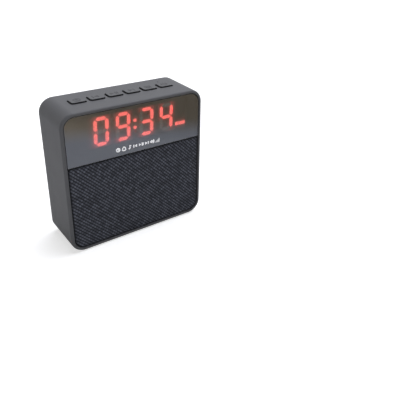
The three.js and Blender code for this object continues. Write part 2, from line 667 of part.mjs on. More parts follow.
// Plate behind the cloth, with upright slots in front of the cone.
function grilleFrame() {
  const shape = rounded(-FACE_HALF, FACE_HALF, GRILLE_LOW, GRILLE_HIGH, FACE_CORNER, GRILLE_TOP_CORNER);
  const across = Math.floor((SLOT_FIELD_RADIUS - SLOT_WIDTH / 2) / SLOT_PITCH);
  for (let i = -across; i <= across; i += 1) {
    const x = i * SLOT_PITCH;
    const half = Math.sqrt(SLOT_FIELD_RADIUS ** 2 - (Math.abs(x) + SLOT_WIDTH / 2) ** 2) + SLOT_WIDTH / 2;
    const left = x - SLOT_WIDTH / 2;
    const round = SLOT_WIDTH / 2 - SEAT;
    shape.holes.push(rounded(left, left + SLOT_WIDTH, SPEAKER_Z - half, SPEAKER_Z + half, round));
  }
  return slabY(shape, FACE + CLOTH_THICKNESS + SEAT, LENS_REAR);
}

// Places of the posts that carry the display board.
function postPlaces() {
  const x = DISPLAY_HALF - POST_SIDE_INSET;
  return [-1, 1].flatMap((sign) => [-x, x].map((side) => ({ x: side, z: DISPLAY_Z + sign * POST_RISE })));
}

// Plate behind the lens and the grille. It carries the display on posts and the loudspeaker in a low wall.
function frontBaffle() {
  const shape = rounded(-FACE_HALF, FACE_HALF, INNER_BOTTOM + FIT, INNER_TOP - FIT, FACE_CORNER);
  const halfHeight = DISPLAY_HEIGHT / 2 + DISPLAY_PLAY;
  const half = DISPLAY_HALF + DISPLAY_PLAY;
  shape.holes.push(rectangle(-half, half, DISPLAY_Z - halfHeight, DISPLAY_Z + halfHeight));
  const plate = slabY(shape, BAFFLE_FRONT, BAFFLE_REAR);
  const wallInner = SPEAKER_RADIUS + FIT;
  const wall = washer(
    wallInner, wallInner + LOCATING_WALL, BAFFLE_REAR - BURIED, BAFFLE_REAR + LOCATING_HEIGHT,
    0, SPEAKER_Z, SPEAKER_SIDES);
  const posts = postPlaces().flatMap(({ x, z }) => [
    barY(POST_RADIUS, BAFFLE_REAR - BURIED, DISPLAY_BOARD_FRONT - SEAT, x, z),
    barY(PIN_RADIUS, BAFFLE_REAR - BURIED, DISPLAY_BOARD_REAR + PIN_PROUD, x, z),
  ]);
  const soundHole = turned(
    [[0, BAFFLE_FRONT - BURIED], [SOUND_HOLE_RADIUS, BAFFLE_FRONT - BURIED],
      [SOUND_HOLE_RADIUS, BAFFLE_REAR + BURIED], [0, BAFFLE_REAR + BURIED]], 0, SPEAKER_Z, SPEAKER_SIDES);
  const screwHoles = bossPlaces().flatMap(({ x, z }) => [
    barY(SCREW_RADIUS + SCREW_PLAY, BAFFLE_FRONT - BURIED, BAFFLE_REAR + BURIED, x, z),
    barY(SCREW_HEAD_RADIUS + FIT, BAFFLE_FRONT - BURIED, BAFFLE_FRONT + SCREW_HEAD_HEIGHT + 2 * SEAT, x, z),
  ]);
  return cut(joined(plate, wall, ...posts), [soundHole, ...screwHoles]);
}

// Screw with a flat head, pointing to the rear.
function baffleScrew(x, z) {
  const head = BAFFLE_FRONT + SEAT;
  const underHead = head + SCREW_HEAD_HEIGHT;
  const tip = BAFFLE_FRONT + SCREW_LENGTH;
  return turned(
    [[0, head], [SCREW_HEAD_RADIUS, head], [SCREW_HEAD_RADIUS, underHead], [SCREW_RADIUS, underHead],
      [SCREW_RADIUS, tip - SCREW_RADIUS], [SCREW_RADIUS / 2, tip], [0, tip]], x, z, 4 * facets(SCREW_RADIUS));
}

// Screw with a raised head, pointing down through the main board.
function boardScrew(x) {
  const headTop = ON_BOARD + BOARD_SCREW_HEAD_HEIGHT;
  const tip = ON_BOARD - BOARD_SCREW_LENGTH;
  return joined(
    barZ(BOARD_SCREW_HEAD_RADIUS, ON_BOARD, headTop, x, BOARD_SCREW_Y),
    barZ(BOARD_SCREW_RADIUS, tip, (ON_BOARD + headTop) / 2, x, BOARD_SCREW_Y));
}

// Key with a rounded cap, a flange that keeps it in the case and a stem that meets the plunger.
function key(x) {
  const flangeTop = INNER_TOP - FIT;
  const flangeBottom = flangeTop - KEY_FLANGE_THICKNESS;
  const rings = [{ inset: 0, at: flangeTop - BURIED }, ...closingEdge(TOP + KEY_PROUD, KEY_EDGE_RADIUS)];
  const cap = lofted(keyOutline(x, 0), rings, "z");
  const flange = slabZ(shapeOf(keyOutline(x, KEY_FLANGE)), flangeBottom, flangeTop);
  const stem = barZ(KEY_STEM_RADIUS, PLUNGER_TOP + SEAT, flangeTop, x, KEY_ROW_Y);
  return joined(cap, flange, stem);
}

function tactSwitch(x) {
  const half = TACT_SIZE / 2;
  const top = ON_BOARD + TACT_HEIGHT;
  const body = box(x - half, x + half, KEY_ROW_Y - half, KEY_ROW_Y + half, ON_BOARD, top);
  return cut(body, [barZ(PLUNGER_RADIUS + PLUNGER_PLAY, top - PLUNGER_WELL, top + BURIED, x, KEY_ROW_Y)]);
}

function plunger(x) {
  return barZ(PLUNGER_RADIUS, PLUNGER_TOP - PLUNGER_PROUD - PLUNGER_SUNK, PLUNGER_TOP, x, KEY_ROW_Y);
}

// Outline of a socket that stands on the main board, grown on all sides.
function socketShape(x, width, height, grow) {
  const half = width / 2 + grow;
  return rounded(x - half, x + half, ON_BOARD - grow, ON_BOARD + height + grow, SOCKET_CORNER + grow);
}

// Window of the slide switch in the port plate, as wide as the knob and its travel need.
function switchWindow() {
  const half = (KNOB_WIDTH + SWITCH_TRAVEL) / 2 + KNOB_END_GAP;
  const middle = ON_BOARD + SWITCH_HEIGHT / 2;
  const low = middle - SWITCH_WINDOW_HEIGHT / 2;
  const high = low + SWITCH_WINDOW_HEIGHT;
  return rounded(SWITCH_X - half, SWITCH_X + half, low, high, SWITCH_WINDOW_HEIGHT / 2 - FIT);
}

function cardMouth(grow) {
  const x = LARGE_SOCKET_X;
  const z = UNDER_BOARD - CARD_HEIGHT / 2;
  const half = CARD_MOUTH_WIDTH / 2 + grow;
  const halfHeight = CARD_MOUTH_HEIGHT / 2 + grow;
  return rectangle(x - half, x + half, z - halfHeight, z + halfHeight);
}

// Plate set into the rear wall from inside, with a flange behind the wall and an opening for each socket.
function portPlate() {
  const half = PLATE_WIDTH / 2 + PLATE_FLANGE;
  const flangeShape = rectangle(PLATE_X - half, PLATE_X + half, PLATE_LOW - PLATE_FLANGE, INNER_TOP - FIT);
  const flange = slabY(flangeShape, FLANGE_FRONT, FLANGE_REAR);
  const panel = slabY(plateShape(0), FLANGE_REAR - BURIED, PLATE_FACE);
  const openings = [
    socketShape(LARGE_SOCKET_X, LARGE_SOCKET_WIDTH, LARGE_SOCKET_HEIGHT, FIT),
    socketShape(SMALL_SOCKET_X, SMALL_SOCKET_WIDTH, SMALL_SOCKET_HEIGHT, FIT),
    disc(JACK_X, ON_BOARD + JACK_HEIGHT / 2, JACK_NOSE_RADIUS + FIT),
    switchWindow(),
    cardMouth(SEAT),
  ];
  const tools = openings.map((shape) => slabY(shape, FLANGE_FRONT - BURIED, PLATE_FACE + BURIED));
  return cut(joined(flange, panel), tools);
}

// Metal shell of a socket, open at both ends.
function socketShell({ x, width, height, depth }) {
  const shape = socketShape(x, width, height, 0);
  shape.holes.push(socketShape(x, width, height, -SOCKET_SHEET));
  return slabY(shape, MOUTH - depth, MOUTH);
}

// Plastic inside a socket: a block that closes its inner end, and a tongue that the plug slides over.
function socketTongue(socket, tongue) {
  const { x, width, height, depth } = socket;
  const inset = SOCKET_SHEET + TONGUE_PLAY;
  const inner = MOUTH - depth;
  const base = slabY(socketShape(x, width, height, -inset), inner, inner + SOCKET_BASE);
  const half = width / 2 - inset - tongue.sideGap;
  const tip = MOUTH - tongue.setback;
  const blade = box(x - half, x + half, inner, tip, tongue.low, tongue.low + tongue.thickness);
  return joined(base, blade);
}

function audioJack() {
  const z = ON_BOARD + JACK_HEIGHT / 2;
  const half = JACK_WIDTH / 2;
  const body = box(
    JACK_X - half, JACK_X + half, BOARD_REAR - JACK_DEPTH, BOARD_REAR, ON_BOARD, ON_BOARD + JACK_HEIGHT);
  const nose = barY(JACK_NOSE_RADIUS, BOARD_REAR - BURIED, MOUTH, JACK_X, z);
  return cut(joined(body, nose), [barY(JACK_BORE_RADIUS, MOUTH - JACK_BORE_DEPTH, MOUTH + BURIED, JACK_X, z)]);
}

// Card holder under the main board, open to the rear.
function cardSlot() {
  const left = LARGE_SOCKET_X - CARD_WIDTH / 2;
  const body = box(
    left, left + CARD_WIDTH, BOARD_REAR - CARD_DEPTH, BOARD_REAR, UNDER_BOARD - CARD_HEIGHT, UNDER_BOARD);
  return cut(body, [slabY(cardMouth(0), BOARD_REAR - CARD_MOUTH_DEPTH, BOARD_REAR + BURIED)]);
}

// Slide switch: the knob's neck runs in a slot of the body, and the knob stands at one end of its travel.
function slideSwitchBody() {
  const left = SWITCH_X - SWITCH_WIDTH / 2;
  const body = box(
    left, left + SWITCH_WIDTH, BOARD_REAR - SWITCH_DEPTH, BOARD_REAR, ON_BOARD, ON_BOARD + SWITCH_HEIGHT);
  const middle = ON_BOARD + SWITCH_HEIGHT / 2;
  const slotHalf = (KNOB_NECK + SWITCH_TRAVEL) / 2 + SLIDE;
  const slotHalfHeight = KNOB_NECK / 2 + SLIDE;
  return cut(body, [box(
    SWITCH_X - slotHalf, SWITCH_X + slotHalf, BOARD_REAR - KNOB_NECK_SUNK - SLIDE, BOARD_REAR + BURIED,
    middle - slotHalfHeight, middle + slotHalfHeight)]);
}

function slideSwitchKnob() {
  const x = SWITCH_X - SWITCH_TRAVEL / 2;
  const z = ON_BOARD + SWITCH_HEIGHT / 2;
  const half = KNOB_WIDTH / 2;
  const halfHeight = SWITCH_WINDOW_HEIGHT / 2 - KNOB_PLAY;
  const outline = {
    left: x - half, right: x + half, low: z - halfHeight, high: z + halfHeight,
    lowRadius: half - SEAT, highRadius: half - SEAT,
  };
  const face = PLATE_FACE - KNOB_RECESS;
  const cap = lofted(outline, [{ inset: 0, at: BOARD_REAR + FIT }, ...closingEdge(face, KEY_EDGE_RADIUS)], "y");
  const neckHalf = KNOB_NECK / 2;
  const neck = box(
    x - neckHalf, x + neckHalf, BOARD_REAR - KNOB_NECK_SUNK, BOARD_REAR + 2 * FIT, z - neckHalf, z + neckHalf);
  return joined(cap, neck);
}

// Light with a domed end behind its hole, on two legs that bend down to the board.
function statusLight() {
  const z = BOARD_TOP + LIGHT_RISE;
  const tip = INNER_REAR - FIT;
  const rear = tip - LIGHT_LENGTH;
  const shoulder = tip - LIGHT_RADIUS;
  const dome = Array.from({ length: EDGE_STEPS + 1 }, (unused, i) => {
    const angle = (i / EDGE_STEPS) * (Math.PI / 2);
    return [LIGHT_RADIUS * Math.cos(angle), shoulder + LIGHT_RADIUS * Math.sin(angle)];
  });
  dome[EDGE_STEPS][0] = 0;
  const rim = LIGHT_RADIUS + LIGHT_RIM;
  const lamp = turned(
    [[0, rear], [rim, rear], [rim, rear + 2 * LIGHT_RIM], [LIGHT_RADIUS, rear + 2 * LIGHT_RIM], ...dome],
    LIGHT_X, z, 4 * facets(LIGHT_RADIUS));
  const bend = rear - 2 * LIGHT_LEG;
  const legs = [-1, 1].flatMap((side) => {
    const left = LIGHT_X + (side * LIGHT_LEG_PITCH) / 2 - LIGHT_LEG / 2;
    const right = left + LIGHT_LEG;
    return [
      box(left, right, bend, rear + BURIED, z - LIGHT_LEG / 2, z + LIGHT_LEG / 2),
      box(left, right, bend, bend + LIGHT_LEG, ON_BOARD, z + LIGHT_LEG / 2),
    ];
  });
  return joined(lamp, ...legs);
}

// Capsule on the main board, under its hole in the top of the case.
function microphone() {
  return barZ(MICROPHONE_RADIUS, ON_BOARD, ON_BOARD + MICROPHONE_HEIGHT, MICROPHONE_X, MICROPHONE_Y);
}

function mainBoard() {
  const board = rectangle(-BOARD_HALF, BOARD_HALF, BOARD_FRONT, BOARD_REAR);
  for (const x of [-BOARD_SCREW_X, BOARD_SCREW_X]) {
    board.holes.push(disc(x, BOARD_SCREW_Y, BOARD_SCREW_RADIUS + SCREW_PLAY));
  }
  return slabZ(board, BOARD_BOTTOM, BOARD_TOP);
}

// Six-sided bar of a digit, level or upright, leaning as the digits do.
function segment(x, z, halfLength, upright) {
  const end = halfLength - SEGMENT_GAP;
  const half = SEGMENT_WIDTH / 2;
  const corners = [
    [-end, 0], [half - end, -half], [end - half, -half], [end, 0], [end - half, half], [half - end, half],
  ];
  const points = corners.map(([along, across]) => {
    const [dx, dz] = upright ? [-across, along] : [along, across];
    return new THREE.Vector2(x + dx + (z + dz - DISPLAY_Z) * DIGIT_SLANT, z + dz);
  });
  return new THREE.Shape(points);
}

// The seven bars of a digit in the middle of the row's height.
function digit(x, width) {
  const side = (width - SEGMENT_WIDTH) / 2;
  const reach = (DIGIT_HEIGHT - SEGMENT_WIDTH) / 2;
  const level = [-reach, 0, reach].map((rise) => segment(x, DISPLAY_Z + rise, side, false));
  const upright = [-1, 1].flatMap((half) => [-side, side].map(
    (offset) => segment(x + offset, DISPLAY_Z + (half * reach) / 2, reach / 2, true)));
  return [...level, ...upright];
}

// Plate with the bars of four digits, two dots and one small mark standing on it.
function segmentPlate() {
  const half = DISPLAY_HALF;
  const plateFront = LIT_FACE + SEGMENT_RAISE;
  const low = DISPLAY_Z - DISPLAY_HEIGHT / 2;
  const plate = box(-half, half, plateFront, PLATE_OF_SEGMENTS_REAR, low, low + DISPLAY_HEIGHT);
  const pairWidth = half - MARK_SPACE - COLON_SPACE / 2;
  const width = (pairWidth - DIGIT_SPACE) / 2;
  const places = [COLON_SPACE / 2 + width / 2, COLON_SPACE / 2 + DIGIT_SPACE + 1.5 * width];
  const digits = places.flatMap((x) => [-x, x]).flatMap((x) => digit(x, width));
  const dots = [-1, 1].map((side) => {
    const rise = side * COLON_HALF_SPREAD;
    return disc(rise * DIGIT_SLANT, DISPLAY_Z + rise, SEGMENT_WIDTH / 2);
  });
  const markEnd = half - MARK_END_GAP;
  const markLow = DISPLAY_Z - DIGIT_HEIGHT / 2 + MARK_RISE - SEGMENT_WIDTH / 2;
  const mark = rectangle(markEnd - MARK_LENGTH, markEnd, markLow, markLow + SEGMENT_WIDTH);
  const foot = plateFront + SEGMENT_PLATE / 2;
  const bars = [...digits, ...dots, mark].map((shape) => slabY(shape, LIT_FACE, foot));
  return joined(plate, ...bars);
}

function displayBlock() {
  const low = DISPLAY_Z - DISPLAY_HEIGHT / 2;
  return box(
    -DISPLAY_HALF, DISPLAY_HALF, DISPLAY_BLOCK_FRONT, DISPLAY_BLOCK_REAR, low, low + DISPLAY_HEIGHT);
}

function displayBoard() {
  const halfHeight = DISPLAY_BOARD_HALF_HEIGHT;
  const shape = rectangle(-DISPLAY_HALF, DISPLAY_HALF, DISPLAY_Z - halfHeight, DISPLAY_Z + halfHeight);
  for (const { x, z } of postPlaces()) shape.holes.push(disc(x, z, PIN_RADIUS + PIN_PLAY));
  return slabY(shape, DISPLAY_BOARD_FRONT, DISPLAY_BOARD_REAR);
}

// Block of pins in the corner between the two boards.
function displayHeader() {
  const front = DISPLAY_BOARD_REAR + SEAT;
  const half = HEADER_WIDTH / 2;
  return box(-half, half, front, front + HEADER_DEPTH, ON_BOARD, ON_BOARD + HEADER_HEIGHT);
}

function speakerGasket() {
  const rear = FLANGE_FACE - SEAT;
  const inner = SPEAKER_RADIUS - GASKET_WIDTH;
  return washer(inner, SPEAKER_RADIUS, rear - GASKET_THICKNESS, rear, 0, SPEAKER_Z, SPEAKER_SIDES);
}

// Pressed basket with windows in its sloping wall and a strip for the terminals.
function speakerBasket() {
  const flangeRear = FLANGE_FACE + FLANGE_THICKNESS;
  const floorRear = FLANGE_FACE + BASKET_DEPTH;
  const floorFront = floorRear - BASKET_SHEET;
  const wallTop = FLANGE_INNER_RADIUS + 2 * BASKET_SHEET;
  const bowl = turned(
    [[SPEAKER_RADIUS, FLANGE_FACE], [SPEAKER_RADIUS, flangeRear], [wallTop + BASKET_SHEET, flangeRear],
      [BASKET_FLOOR_RADIUS, floorRear], [BASKET_FLOOR_BORE, floorRear], [BASKET_FLOOR_BORE, floorFront],
      [BASKET_FLOOR_RADIUS - BASKET_SHEET, floorFront], [wallTop - BASKET_SHEET / 2, flangeRear],
      [FLANGE_INNER_RADIUS, flangeRear], [FLANGE_INNER_RADIUS, FLANGE_FACE]], 0, SPEAKER_Z, SPEAKER_SIDES);
  const windowFront = FLANGE_FACE + WINDOW_FRONT;
  const windowRear = windowFront + WINDOW_DEPTH;
  const half = WINDOW_WIDTH / 2;
  const windows = Array.from({ length: BASKET_WINDOWS }, (unused, i) => (
    box(-half, half, windowFront, windowRear, BASKET_FLOOR_BORE, SPEAKER_RADIUS)
      .rotateY(((i + 0.5) / BASKET_WINDOWS) * 2 * Math.PI).translate(0, 0, SPEAKER_Z)));
  const stripLow = SPEAKER_Z + TERMINAL_RADIUS - TERMINAL_SHEET;
  const strip = box(
    TERMINAL_X - TERMINAL_WIDTH / 2, TERMINAL_X + TERMINAL_WIDTH / 2, flangeRear - FLANGE_THICKNESS / 2,
    flangeRear + TERMINAL_LENGTH, stripLow, stripLow + TERMINAL_SHEET);
  return joined(cut(bowl, windows), strip);
}

function speakerTopPlate() {
  const rear = TOP_PLATE_FRONT + TOP_PLATE_THICKNESS;
  return washer(COIL_OUTER + COIL_GAP, TOP_PLATE_RADIUS, TOP_PLATE_FRONT, rear, 0, SPEAKER_Z, SPEAKER_SIDES);
}

function speakerMagnet() {
  const rear = MAGNET_FRONT + MAGNET_THICKNESS;
  return washer(MAGNET_BORE, MAGNET_RADIUS, MAGNET_FRONT, rear, 0, SPEAKER_Z, SPEAKER_SIDES);
}

function speakerYoke() {
  const rear = YOKE_FRONT + YOKE_THICKNESS;
  return turned(
    [[0, TOP_PLATE_FRONT], [POLE_RADIUS, TOP_PLATE_FRONT], [POLE_RADIUS, YOKE_FRONT], [YOKE_RADIUS, YOKE_FRONT],
      [YOKE_RADIUS, rear], [0, rear]], 0, SPEAKER_Z, SPEAKER_SIDES);
}

function voiceCoil() {
  const rear = TOP_PLATE_FRONT + COIL_REACH;
  return washer(COIL_INNER, COIL_OUTER, rear - COIL_LENGTH, rear, 0, SPEAKER_Z, SPEAKER_SIDES);
}

function speakerCone() {
  const inner = COIL_OUTER + FIT;
  const neck = CONE_EDGE + CONE_DEPTH;
  return turned(
    [[inner, neck], [CONE_RADIUS, CONE_EDGE], [CONE_RADIUS, CONE_EDGE + CONE_SHEET],
      [inner, neck + CONE_SHEET]], 0, SPEAKER_Z, SPEAKER_SIDES);
}

// Domed cap over the neck of the cone. Its rim lies just in front of the slope of the cone.
function dustCap() {
  const slope = CONE_DEPTH / (CONE_RADIUS - COIL_OUTER - FIT);
  const rim = CONE_EDGE + (CONE_RADIUS - DUST_CAP_RADIUS) * slope - FIT;
  const arc = (radius, height) => Array.from({ length: EDGE_STEPS + 1 }, (unused, i) => {
    const angle = (i / EDGE_STEPS) * (Math.PI / 2);
    return [i === EDGE_STEPS ? 0 : radius * Math.cos(angle), rim - height * Math.sin(angle)];
  });
  const outer = arc(DUST_CAP_RADIUS, DUST_CAP_HEIGHT);
  const inner = arc(DUST_CAP_RADIUS - CONE_SHEET, DUST_CAP_HEIGHT - CONE_SHEET);
  return turned([...inner.reverse(), ...outer], 0, SPEAKER_Z, SPEAKER_SIDES);
}

// Half roll between the cone and the flange, with a flat lip on each.
function speakerSurround() {
  const innerLip = CONE_RADIUS - 2 * SURROUND_SHEET;
  const outerLip = SPEAKER_RADIUS - GASKET_WIDTH - FIT;
  const rear = FLANGE_FACE - SEAT;
  const front = rear - SURROUND_SHEET;
  const middle = (CONE_RADIUS + FLANGE_INNER_RADIUS) / 2;
  const radius = (FLANGE_INNER_RADIUS - CONE_RADIUS) / 2;
  const arc = (size, base) => Array.from({ length: ROLL_STEPS + 1 }, (unused, i) => {
    const angle = Math.PI * (1 - i / ROLL_STEPS);
    return [middle + size * Math.cos(angle), base - size * Math.sin(angle)];
  });
  return turned(
    [[innerLip, front], ...arc(radius, front), [outerLip, front], [outerLip, rear],
      ...arc(radius - SURROUND_SHEET, rear).reverse(), [innerLip, rear]], 0, SPEAKER_Z, SPEAKER_SIDES);
}

// Ribbed disc that keeps the voice coil in the middle of its gap. Its rim lies on the floor of the basket.
function speakerSpider() {
  const inner = COIL_OUTER + COIL_GAP;
  const rimFront = FLANGE_FACE + BASKET_DEPTH - BASKET_SHEET - SEAT - SPIDER_SHEET;
  const wavesOuter = SPIDER_RADIUS - SPIDER_RIM;
  const steps = SPIDER_WAVES * SPIDER_WAVE_STEPS;
  const waves = Array.from({ length: steps + 1 }, (unused, i) => {
    const rise = SPIDER_WAVE_HEIGHT * Math.sin((i / steps) * SPIDER_WAVES * 2 * Math.PI);
    return [inner + ((wavesOuter - inner) * i) / steps, rimFront - SPIDER_LIFT + rise];
  });
  const front = [...waves, [wavesOuter + SPIDER_LIFT / 2, rimFront], [SPIDER_RADIUS, rimFront]];
  const rear = front.map(([r, y]) => [r, y + SPIDER_SHEET]).reverse();
  return turned([...front, ...rear], 0, SPEAKER_Z, SPEAKER_SIDES);
}

// Rechargeable cell lying across the case, with a raised contact at its right end.
function batteryCell() {
  const half = CELL_LENGTH / 2;
  const can = barX(CELL_RADIUS, -half, half - CELL_CAP_HEIGHT, CELL_Y, CELL_Z);
  const contact = barX(CELL_CAP_RADIUS, half - CELL_CAP_HEIGHT - BURIED, half, CELL_Y, CELL_Z);
  return joined(can, contact);
}

// Lead from the left end of the cell to the underside of the main board.
function batteryLead() {
  const start = -CELL_LENGTH / 2 - FIT;
  const end = UNDER_BOARD - FIT;
  const front = BOARD_FRONT + LEAD_BOW;
  return tube([
    [start, CELL_Y, CELL_Z],
    [start - LEAD_BOW / 2, CELL_Y, CELL_Z + LEAD_BOW / 8],
    [start - LEAD_BOW, CELL_Y - LEAD_BOW / 2, CELL_Z + LEAD_BOW],
    [start - LEAD_BOW, front, (CELL_Z + end) / 2],
    [start - LEAD_BOW, front, end - LEAD_BOW],
    [start - LEAD_BOW, front, end],
  ], LEAD_RADIUS);
}

// Lead from the terminals of the loudspeaker, behind the display board, to the underside of the main board.
function speakerLead() {
  const start = SPEAKER_Z + TERMINAL_RADIUS + FIT;
  const behind = DISPLAY_BOARD_REAR + LEAD_SETBACK;
  const end = UNDER_BOARD - FIT;
  const strip = FLANGE_FACE + FLANGE_THICKNESS + TERMINAL_LENGTH / 2;
  return tube([
    [TERMINAL_X, strip, start],
    [TERMINAL_X, strip, start + LEAD_BOW / 4],
    [TERMINAL_X, (strip + behind) / 2, start + LEAD_BOW * 0.75],
    [TERMINAL_X, behind, start + LEAD_BOW * 1.5],
    [TERMINAL_X, behind, (start + end) / 2],
    [TERMINAL_X, behind, end],
  ], LEAD_RADIUS);
}

const largeSocket = {
  x: LARGE_SOCKET_X,
  width: LARGE_SOCKET_WIDTH,
  height: LARGE_SOCKET_HEIGHT,
  depth: LARGE_SOCKET_DEPTH,
};
const smallSocket = {
  x: SMALL_SOCKET_X,
  width: SMALL_SOCKET_WIDTH,
  height: SMALL_SOCKET_HEIGHT,
  depth: SMALL_SOCKET_DEPTH,
};
const largeTongue = {
  thickness: LARGE_TONGUE_THICKNESS,
  sideGap: LARGE_TONGUE_SIDE_GAP,
  setback: LARGE_TONGUE_SETBACK,
  low: ON_BOARD + LARGE_SOCKET_HEIGHT / 2 + SLIDE,
};
const smallTongue = {
  thickness: SMALL_TONGUE_THICKNESS,
  sideGap: SMALL_TONGUE_SIDE_GAP,
  setback: SMALL_TONGUE_SETBACK,
  low: ON_BOARD + (SMALL_SOCKET_HEIGHT - SMALL_TONGUE_THICKNESS) / 2,
};

const housing = assembly(
  piece("case_shell", caseShell(), "softTouch"),
  piece("port_plate", portPlate(), "softTouch"),
  piece("foot_left", foot(-1), "rubber"),
  piece("foot_right", foot(1), "rubber"),
);

const front = assembly(
  piece("front_baffle", frontBaffle(), "blackPlastic"),
  piece("display_lens", displayLens(), "smokedLens"),
  piece("grille_frame", grilleFrame(), "blackPlastic"),
  piece("grille_cloth", grilleCloth(), "cloth"),
  ...bossPlaces().map(({ x, z }, i) => piece(`baffle_screw_${i + 1}`, baffleScrew(x, z), "steel")),
);

const keys = assembly(...KEY_XS.flatMap((x, i) => [
  piece(`key_${i + 1}`, key(x), "softTouch"),
  piece(`tact_switch_${i + 1}`, tactSwitch(x), "blackPlastic"),
  piece(`plunger_${i + 1}`, plunger(x), "whitePlastic"),
]));

const electronics = assembly(
  piece("main_board", mainBoard(), "circuitBoard"),
  piece("board_screw_left", boardScrew(-BOARD_SCREW_X), "steel"),
  piece("board_screw_right", boardScrew(BOARD_SCREW_X), "steel"),
  piece("usb_shell", socketShell(largeSocket), "steel"),
  piece("usb_tongue", socketTongue(largeSocket, largeTongue), "whitePlastic"),
  piece("charge_shell", socketShell(smallSocket), "steel"),
  piece("charge_tongue", socketTongue(smallSocket, smallTongue), "blackPlastic"),
  piece("audio_jack", audioJack(), "blackPlastic"),
  piece("card_slot", cardSlot(), "steel"),
  piece("slide_switch", slideSwitchBody(), "steel"),
  piece("switch_knob", slideSwitchKnob(), "greyKnob"),
  piece("status_light", statusLight(), "lightLens"),
  piece("microphone", microphone(), "steel"),
);

const display = assembly(
  piece("segment_plate", segmentPlate(), "segments"),
  piece("display_block", displayBlock(), "blackPlastic"),
  piece("display_board", displayBoard(), "circuitBoard"),
  piece("display_header", displayHeader(), "blackPlastic"),
);

const loudspeaker = assembly(
  piece("speaker_gasket", speakerGasket(), "rubber"),
  piece("speaker_basket", speakerBasket(), "steel"),
  piece("speaker_top_plate", speakerTopPlate(), "steel"),
  piece("speaker_magnet", speakerMagnet(), "ferrite"),
  piece("speaker_yoke", speakerYoke(), "steel"),
  piece("voice_coil", voiceCoil(), "copper"),
  piece("speaker_cone", speakerCone(), "paper"),
  piece("dust_cap", dustCap(), "paper"),
  piece("speaker_surround", speakerSurround(), "rubber"),
  piece("speaker_spider", speakerSpider(), "spider"),
  piece("speaker_lead", speakerLead(), "redLead"),
);

const power = assembly(
  piece("battery_cell", batteryCell(), "cellWrap"),
  piece("battery_lead", batteryLead(), "redLead"),
);

export default assembly(housing, front, keys, electronics, display, loudspeaker, power);
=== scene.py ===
"""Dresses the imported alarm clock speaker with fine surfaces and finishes, and sets up its studio and camera.

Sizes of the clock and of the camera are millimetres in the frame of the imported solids: +X right seen from the
front, +Y to the rear, +Z up, with the origin under the middle of the case. Points become metres when they
are put into a mesh. Sizes in the finishes, the floor, the lights and the camera's clipping are metres.
"""
from __future__ import annotations

import logging
from dataclasses import dataclass
from enum import Enum
from typing import Sequence

import bpy
import numpy as np
from mathutils import Matrix, Vector

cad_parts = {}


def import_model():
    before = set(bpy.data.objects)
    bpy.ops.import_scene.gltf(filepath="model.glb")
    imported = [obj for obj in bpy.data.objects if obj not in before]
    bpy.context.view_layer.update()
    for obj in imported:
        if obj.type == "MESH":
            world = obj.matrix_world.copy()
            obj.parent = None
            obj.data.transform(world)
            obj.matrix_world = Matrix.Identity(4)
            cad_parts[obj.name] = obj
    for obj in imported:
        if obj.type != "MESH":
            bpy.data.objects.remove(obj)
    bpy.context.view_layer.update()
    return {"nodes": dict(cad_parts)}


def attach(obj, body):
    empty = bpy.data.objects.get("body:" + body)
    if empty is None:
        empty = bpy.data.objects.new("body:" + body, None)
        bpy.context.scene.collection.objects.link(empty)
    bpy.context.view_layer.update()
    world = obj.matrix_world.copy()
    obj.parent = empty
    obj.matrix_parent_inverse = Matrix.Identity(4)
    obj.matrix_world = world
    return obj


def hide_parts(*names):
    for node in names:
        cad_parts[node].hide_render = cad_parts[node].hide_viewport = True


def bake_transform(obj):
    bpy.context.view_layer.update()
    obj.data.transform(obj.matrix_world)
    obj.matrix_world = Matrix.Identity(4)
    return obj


LOG = logging.getLogger("alarm_clock_speaker")
Array = np.ndarray
Span = tuple[float, float]
Triple = tuple[float, float, float]
Colour = Triple
Object = bpy.types.Object
Material = bpy.types.Material
Node = bpy.types.Node
NodeTree = bpy.types.NodeTree
Socket = bpy.types.NodeSocket

METRES = 0.001  # metres in a millimetre
SMOOTH_ANGLE = np.radians(32.0)  # edges that turn more than this stay sharp
NORMAL_WEIGHT = 60  # how much more large faces count than small ones in the shading
ROUND_STEPS = 6  # facets across a rounded edge
FLARE_STEPS = 4  # facets across the rounded edge of a hole
CORNER_STEPS = 14  # facets round an outline's corner
ARC_STEPS = 18  # facets of an open arc
CIRCLE_SIDES = 40  # sides of a circle where no other number is given
TOOL_REACH = 0.5  # how far a cutting shape stands out past the face that it cuts
ROW_DIGITS = 3  # decimals that rows of points are told apart by
SHARE_DIGITS = 6  # decimals that columns of points are told apart by
BOTH = (-1, 1)  # left and right
BLACK = (0.0, 0.0, 0.0, 1.0)
WHITE = (1.0, 1.0, 1.0, 1.0)
MASK_RANGE = (0.3, 0.7)  # part of a noise's range that is spread over a mask
NOISE_ROUGHNESS = 0.55
FINE_DETAIL = 3.0  # steps of detail in fine noise
BROAD_DETAIL = 4.0  # steps of detail in broad noise
BROAD_SHARE = 0.65  # share of the broad noise in the tint of a moulded surface
FUZZ_SHARE = 0.3  # share of the fuzz in the height of a weave
FUZZ_RATE = 0.7  # lumps of fuzz in the width of a thread


class Plane(Enum):
    """Plane that an outline is drawn in: the axes of its width, its height and its depth."""

    FRONT = (0, 2, 1)
    TOP = (0, 1, 2)
    SIDE = (1, 2, 0)


class Operation(Enum):
    """How a second solid is put to the first one."""

    JOIN = "UNION"
    CUT = "DIFFERENCE"


class Mark(Enum):
    """Simple shapes that signs are made of."""

    BAR = "bar"
    POINTER = "pointer"
    HOOP = "hoop"
    DOT = "dot"
    LINE = "line"
    PATCH = "patch"
    BORDER = "border"


